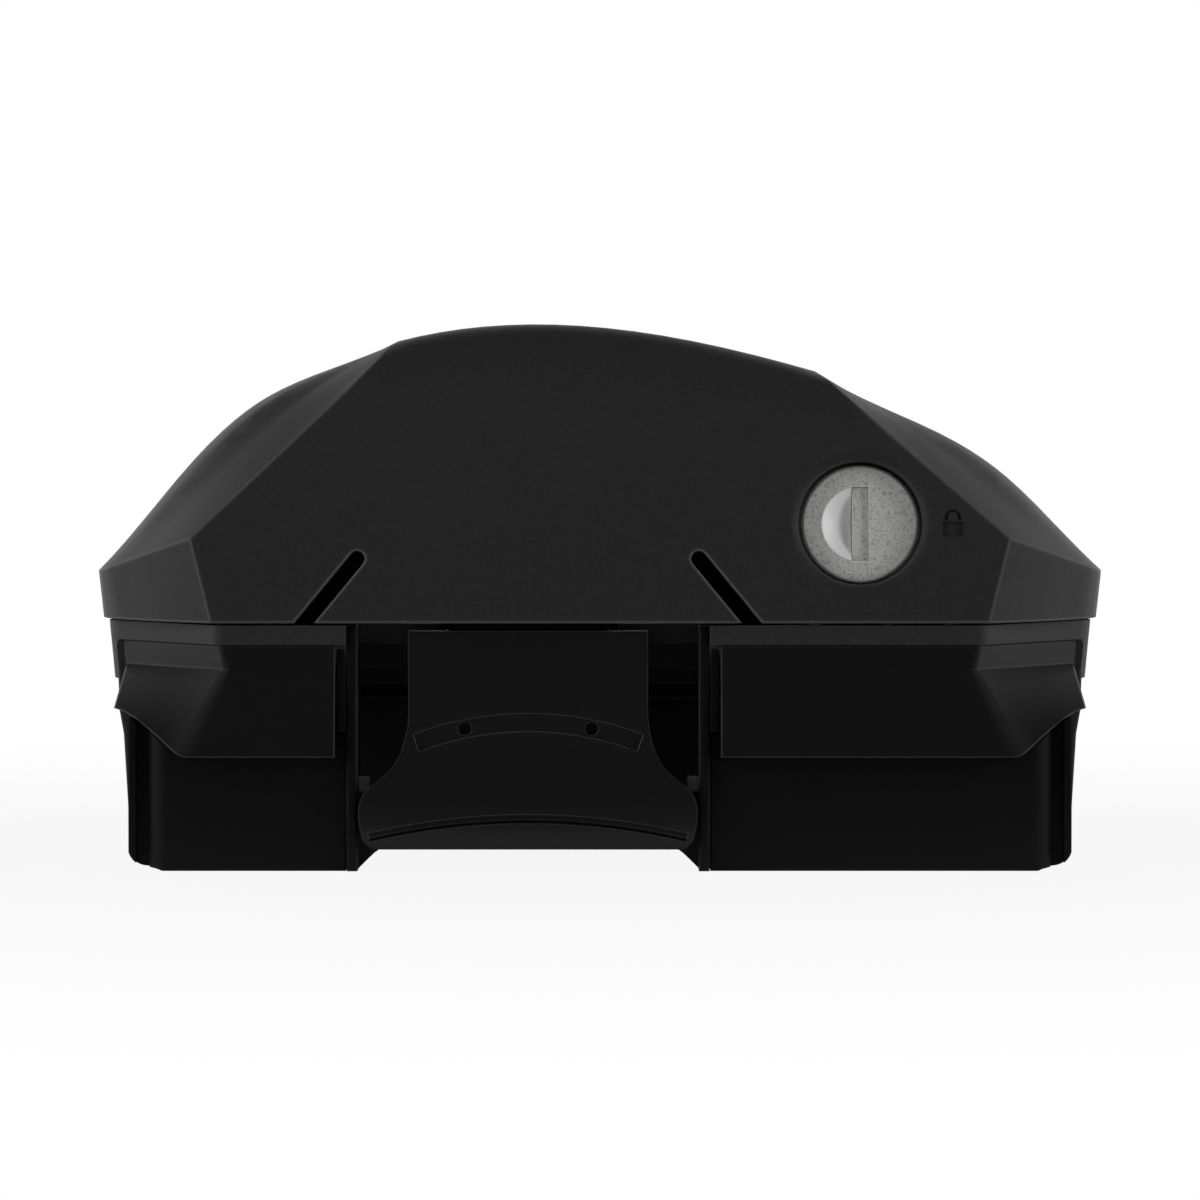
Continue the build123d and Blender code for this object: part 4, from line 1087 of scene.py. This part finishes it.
@dataclass(frozen=True)
class Cover(SubAssembly):
    """The hinged cover and its pin."""

    title: str = "cover"
    finishes: tuple[tuple[str, Finish], ...] = (
        ("front_cover", COVER_PLASTIC),
        ("hinge_pin", SPRING_STEEL),
    )
    shell: WeldedCopy = WeldedCopy("front_cover", "cover_shell", "cover", "cover_plastic", 28.0)

    def build(self, built: Materials) -> None:
        """Makes the cover's smooth shell.

        Args:
            built: Materials that are ready, by name; not used.
        """
        self.shell.build()


@dataclass(frozen=True)
class Housing(SubAssembly):
    """The housing with its rubber pads, shoes and flaps, and the trim on its legs.

    A fin behind each shoe and a short one under each side wall leave the way of the rail between them clear.
    """

    title: str = "housing"
    finishes: tuple[tuple[str, Finish], ...] = (
        ("housing", HOUSING_PLASTIC),
        ("bar_collar", HOUSING_PLASTIC),
        ("left_flap", FLAP_PLASTIC),
        ("right_flap", FLAP_PLASTIC),
        ("left_shoe", SHOE_RUBBER),
        ("right_shoe", SHOE_RUBBER),
        ("rail_pad", PAD_RUBBER),
        ("rear_hook_pad", PAD_RUBBER),
        ("bar_seal", PAD_RUBBER),
    )
    jaw_x_mm: float = -12.3
    lips: tuple[LegLip, ...] = (
        LegLip("wall_lip", (29.35, 31.0), (-45.65, -44.8), (0.3, 41.9)),
        # This strip's dark rubber fills the gap between leg wall and flap and stands in for that gap's shade:
        # painted shade.
        LegLip("flap_gap_shade_strip", (31.05, 32.8), (-45.55, -43.9), (23.9, 38.6)),
    )
    fins: tuple[LegFin, ...] = (
        LegFin(
            "leg_fin",
            (-30.6, -29.2),
            71.0,
            ((80.4, 0.6), (81.4, 2.2), (81.8, 10.8), (82.5, 22.8), (83.3, 27.3), (83.4, 28.6)),
        ),
        LegFin("wall_fin", (-22.2, -20.8), 80.4, ((83.9, 28.6), (84.1, 33.6))),
    )

    def build(self, built: Materials) -> None:
        """Makes the lips and fins of both legs.

        Args:
            built: Materials that are ready, by name.
        """
        for side in Side:
            for lip in self.lips:
                lip.build(self.jaw_x_mm, side, built[SHOE_RUBBER.name])
        for side in Side:
            for fin in self.fins:
                fin.build(side, built[HOUSING_PLASTIC.name])


@dataclass(frozen=True)
class Clamp(SubAssembly):
    """The jaw with its plate, pad, screw, nut and spring, and the bracket that carries the load."""

    title: str = "clamp"
    finishes: tuple[tuple[str, Finish], ...] = (
        ("clamp_jaw", JAW_PLASTIC),
        ("jaw_plate", ZINC_STEEL),
        ("jaw_pad", PAD_RUBBER),
        ("jaw_screws", ZINC_STEEL),
        ("jaw_spring", SPRING_STEEL),
        ("clamp_screw", ZINC_STEEL),
        ("clamp_washer", ZINC_STEEL),
        ("screw_ring", SPRING_STEEL),
        ("clamp_nut", ZINC_STEEL),
        ("load_bracket", ZINC_STEEL),
        ("bracket_screws", ZINC_STEEL),
    )
    coil: WeldedCopy = WeldedCopy("jaw_spring", "jaw_coil", "jaw", "spring_steel", 60.0, "foot")

    def build(self, built: Materials) -> None:
        """Makes the spring's welded copy, fixed in place.

        Args:
            built: Materials that are ready, by name; not used.
        """
        self.coil.build()


@dataclass(frozen=True)
class BarTee(SubAssembly):
    """The tee that holds the bar, with its screw and washer."""

    title: str = "bar tee"
    finishes: tuple[tuple[str, Finish], ...] = (
        ("bar_tee", CAST_ALLOY),
        ("tee_screw", ZINC_STEEL),
        ("tee_washer", ZINC_STEEL),
    )


@dataclass(frozen=True)
class Lock(SubAssembly):
    """The wafer lock, its cam and the keeper."""

    title: str = "lock"
    finishes: tuple[tuple[str, Finish], ...] = (
        ("lock_plug", LOCK_ZINC),
        ("key_shutter", LOCK_ZINC),
        ("lock_wafers", LOCK_BRASS),
        ("lock_barrel", LOCK_ZINC),
        ("barrel_clip", SPRING_STEEL),
        ("lock_cam", ZINC_STEEL),
        ("cam_screw", ZINC_STEEL),
        ("lock_keeper", ZINC_STEEL),
        ("keeper_screw", ZINC_STEEL),
    )


@dataclass(frozen=True)
class SoftBox:
    """One soft lamp that faces the part. Reflections don't show it, so that it leaves no bright spots."""

    name: str
    place: Place
    size: Span
    power: float
    target: Place = (0.0, 0.0, 0.05)

    def hang(self) -> None:
        """Hangs the lamp."""
        data = bpy.data.lights.new(self.name, "AREA")
        data.shape = "RECTANGLE"
        data.size, data.size_y = self.size
        data.energy = self.power
        lamp = bpy.data.objects.new(self.name, data)
        lamp.location = self.place
        way = Vector(self.target) - Vector(self.place)
        lamp.rotation_euler = way.to_track_quat("-Z", "Y").to_euler()
        lamp.visible_glossy = False
        bpy.context.scene.collection.objects.link(lamp)


@dataclass(frozen=True)
class Wall:
    """One pale wall of the studio, which brightens from one value of an axis of the view to another."""

    axis: str
    dim_at: float
    bright_at: float
    level: float


@dataclass(frozen=True)
class Studio:
    """Pale floor, pale walls, soft lamps and the camera at the photograph's angle."""

    floor_radius: float = 0.5
    floor_rings: int = 32
    floor_turns: int = 96
    floor_colour: str = "#e4e4e4"
    shadow_reach: Span = (0.08, 0.42)
    shadow_white: float = 0.9
    mirror_edge_y: Span = (-0.085, -0.055)
    mirror_dim: float = 0.06
    walls: tuple[Wall, ...] = (
        Wall("X", -0.3, -0.75, 0.45),
        Wall("X", 0.3, 0.75, 0.38),
        Wall("Y", 0.3, 0.85, 1.0),
    )
    room_level: float = 0.05
    wall_top: Span = (0.2, 0.7)
    ceiling_share: float = 0.1
    lamps: tuple[SoftBox, ...] = (
        SoftBox("overhead_box", (0.0, -0.05, 1.1), (1.0, 0.8), 0.8),
        SoftBox("left_box", (-1.05, -0.36, 0.28), (0.6, 0.8), 8.6),
        SoftBox("right_box", (1.05, -0.36, 0.28), (0.6, 0.8), 8.0),
    )
    camera_place: Place = (0.0, -1.148, 0.084)
    camera_target: Place = (0.0, -0.048, 0.0466)
    camera_reach: float = 20.0
    lens_mm: float = 193.8
    sensor_mm: float = 36.0

    def floor(self) -> None:
        """Lays a round floor: rings of quads about a hub of triangles, with points at radius and angle."""
        rings = np.linspace(0.0, 1.0, self.floor_rings + 1)[1:] * self.floor_radius
        turns = np.linspace(0.0, 2.0 * math.pi, self.floor_turns + 1)[:-1]
        radius, angle = np.meshgrid(rings, turns, indexing="ij")
        level = np.zeros_like(radius)
        grid = np.stack([radius * np.cos(angle), radius * np.sin(angle), level], axis=-1)
        points = np.vstack([np.zeros((1, 3)), grid.reshape(-1, 3)])
        count = len(turns)
        around = np.arange(count)
        after = (around + 1) % count
        hub = np.stack([np.zeros(count, int), 1 + around, 1 + after], axis=-1)
        first = 1 + np.arange(len(rings) - 1)[:, None] * count
        inner, inner_after = first + around, first + after
        quads = np.stack([inner, inner + count, inner_after + count, inner_after], axis=-1)
        faces = hub.tolist() + quads.reshape(-1, 4).tolist()
        add_piece("studio_floor", points, faces, self.floor_material())

    def floor_material(self) -> bpy.types.Material:
        """Matt white paper that fades to white for the camera and keeps the shadow near the part.

        Ahead of the part, reflections see it dim, so that upright dark faces stay dark.

        Returns:
            The floor's material.
        """
        material = bpy.data.materials.new("backdrop_paper")
        material.use_nodes = True
        tree = material.node_tree
        tree.nodes.clear()
        place = node(tree, "ShaderNodeTexCoord").outputs["Object"]
        away = node(tree, "ShaderNodeVectorMath", {0: place}, operation="LENGTH")
        fade = node(
            tree,
            "ShaderNodeMapRange",
            {
                "Value": away.outputs["Value"],
                "From Min": self.shadow_reach[0],
                "From Max": self.shadow_reach[1],
                "To Min": self.shadow_white,
                "To Max": 1.0,
            },
            interpolation_type="SMOOTHSTEP",
        )
        depth = node(tree, "ShaderNodeSeparateXYZ", {"Vector": place})
        pale = node(
            tree,
            "ShaderNodeMapRange",
            {
                "Value": depth.outputs["Y"],
                "From Min": self.mirror_edge_y[0],
                "From Max": self.mirror_edge_y[1],
                "To Min": self.mirror_dim,
                "To Max": 1.0,
            },
            interpolation_type="SMOOTHSTEP",
        )
        path = node(tree, "ShaderNodeLightPath")
        dimmed = node(
            tree,
            "ShaderNodeMix",
            {"Factor": path.outputs["Is Glossy Ray"], "A": 1.0, "B": pale.outputs["Result"]},
        )
        tone = node(
            tree,
            "ShaderNodeMix",
            {
                "Factor": dimmed.outputs["Result"],
                "A": linear("#000000"),
                "B": linear(self.floor_colour),
            },
            data_type="RGBA",
        )
        share = node(
            tree,
            "ShaderNodeMath",
            {0: path.outputs["Is Camera Ray"], 1: fade.outputs["Result"]},
            operation="MULTIPLY",
        )
        paper = node(tree, "ShaderNodeBsdfDiffuse", {"Color": tone.outputs["Result"]})
        white = node(tree, "ShaderNodeEmission", {"Color": linear("#ffffff"), "Strength": 1.0})
        mixed = node(
            tree,
            "ShaderNodeMixShader",
            {0: share.outputs[0], 1: paper.outputs["BSDF"], 2: white.outputs["Emission"]},
        )
        node(tree, "ShaderNodeOutputMaterial", {"Surface": mixed.outputs["Shader"]})
        return material

    def sky(self) -> None:
        """White backdrop for the camera, pale walls behind and beside, dim in front and overhead."""
        world = bpy.data.worlds.new("studio")
        bpy.context.scene.world = world
        world.use_nodes = True
        tree = world.node_tree
        tree.nodes.clear()
        way = node(tree, "ShaderNodeTexCoord").outputs["Generated"]
        parts = node(tree, "ShaderNodeSeparateXYZ", {"Vector": way})
        levels = [
            node(
                tree,
                "ShaderNodeMapRange",
                {
                    "Value": parts.outputs[wall.axis],
                    "From Min": wall.dim_at,
                    "From Max": wall.bright_at,
                    "To Min": self.room_level,
                    "To Max": wall.level,
                },
                interpolation_type="SMOOTHSTEP",
            ).outputs["Result"]
            for wall in self.walls
        ]
        room, *others = levels
        for other in others:
            room = node(tree, "ShaderNodeMath", {0: room, 1: other}, operation="MAXIMUM").outputs[0]
        low = node(
            tree,
            "ShaderNodeMapRange",
            {
                "Value": parts.outputs["Z"],
                "From Min": self.wall_top[0],
                "From Max": self.wall_top[1],
                "To Min": 1.0,
                "To Max": self.ceiling_share,
            },
            interpolation_type="SMOOTHSTEP",
        )
        unseen = node(
            tree, "ShaderNodeMath", {0: room, 1: low.outputs["Result"]}, operation="MULTIPLY"
        )
        path = node(tree, "ShaderNodeLightPath")
        level = node(
            tree,
            "ShaderNodeMath",
            {0: unseen.outputs[0], 1: path.outputs["Is Camera Ray"]},
            operation="MAXIMUM",
        )
        light = node(
            tree, "ShaderNodeBackground", {"Color": linear("#ffffff"), "Strength": level.outputs[0]}
        )
        node(tree, "ShaderNodeOutputWorld", {"Surface": light.outputs["Background"]})

    def camera(self) -> None:
        """Sets the camera level with the photograph's."""
        data = bpy.data.cameras.new("photo_camera")
        data.sensor_width = self.sensor_mm
        data.lens = self.lens_mm
        data.clip_end = self.camera_reach
        camera = bpy.data.objects.new("photo_camera", data)
        camera.location = self.camera_place
        way = Vector(self.camera_target) - Vector(self.camera_place)
        camera.rotation_euler = way.to_track_quat("-Z", "Y").to_euler()
        bpy.context.scene.collection.objects.link(camera)
        bpy.context.scene.camera = camera

    def build(self) -> None:
        """Builds the whole studio."""
        bpy.context.scene.view_settings.view_transform = "Standard"
        self.floor()
        self.sky()
        for lamp in self.lamps:
            lamp.hang()
        self.camera()


def main() -> None:
    """Dresses and builds every sub-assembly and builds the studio."""
    logging.basicConfig(level=logging.INFO, format="%(message)s")
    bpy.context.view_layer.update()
    built: Materials = {}
    groups = (Cover(), Clamp(), Housing(), BarTee(), Lock())
    for group in groups:
        group.dress(built)
    for group in groups:
        group.build(built)
    Studio().build()


if __name__ == "__main__":
    main()
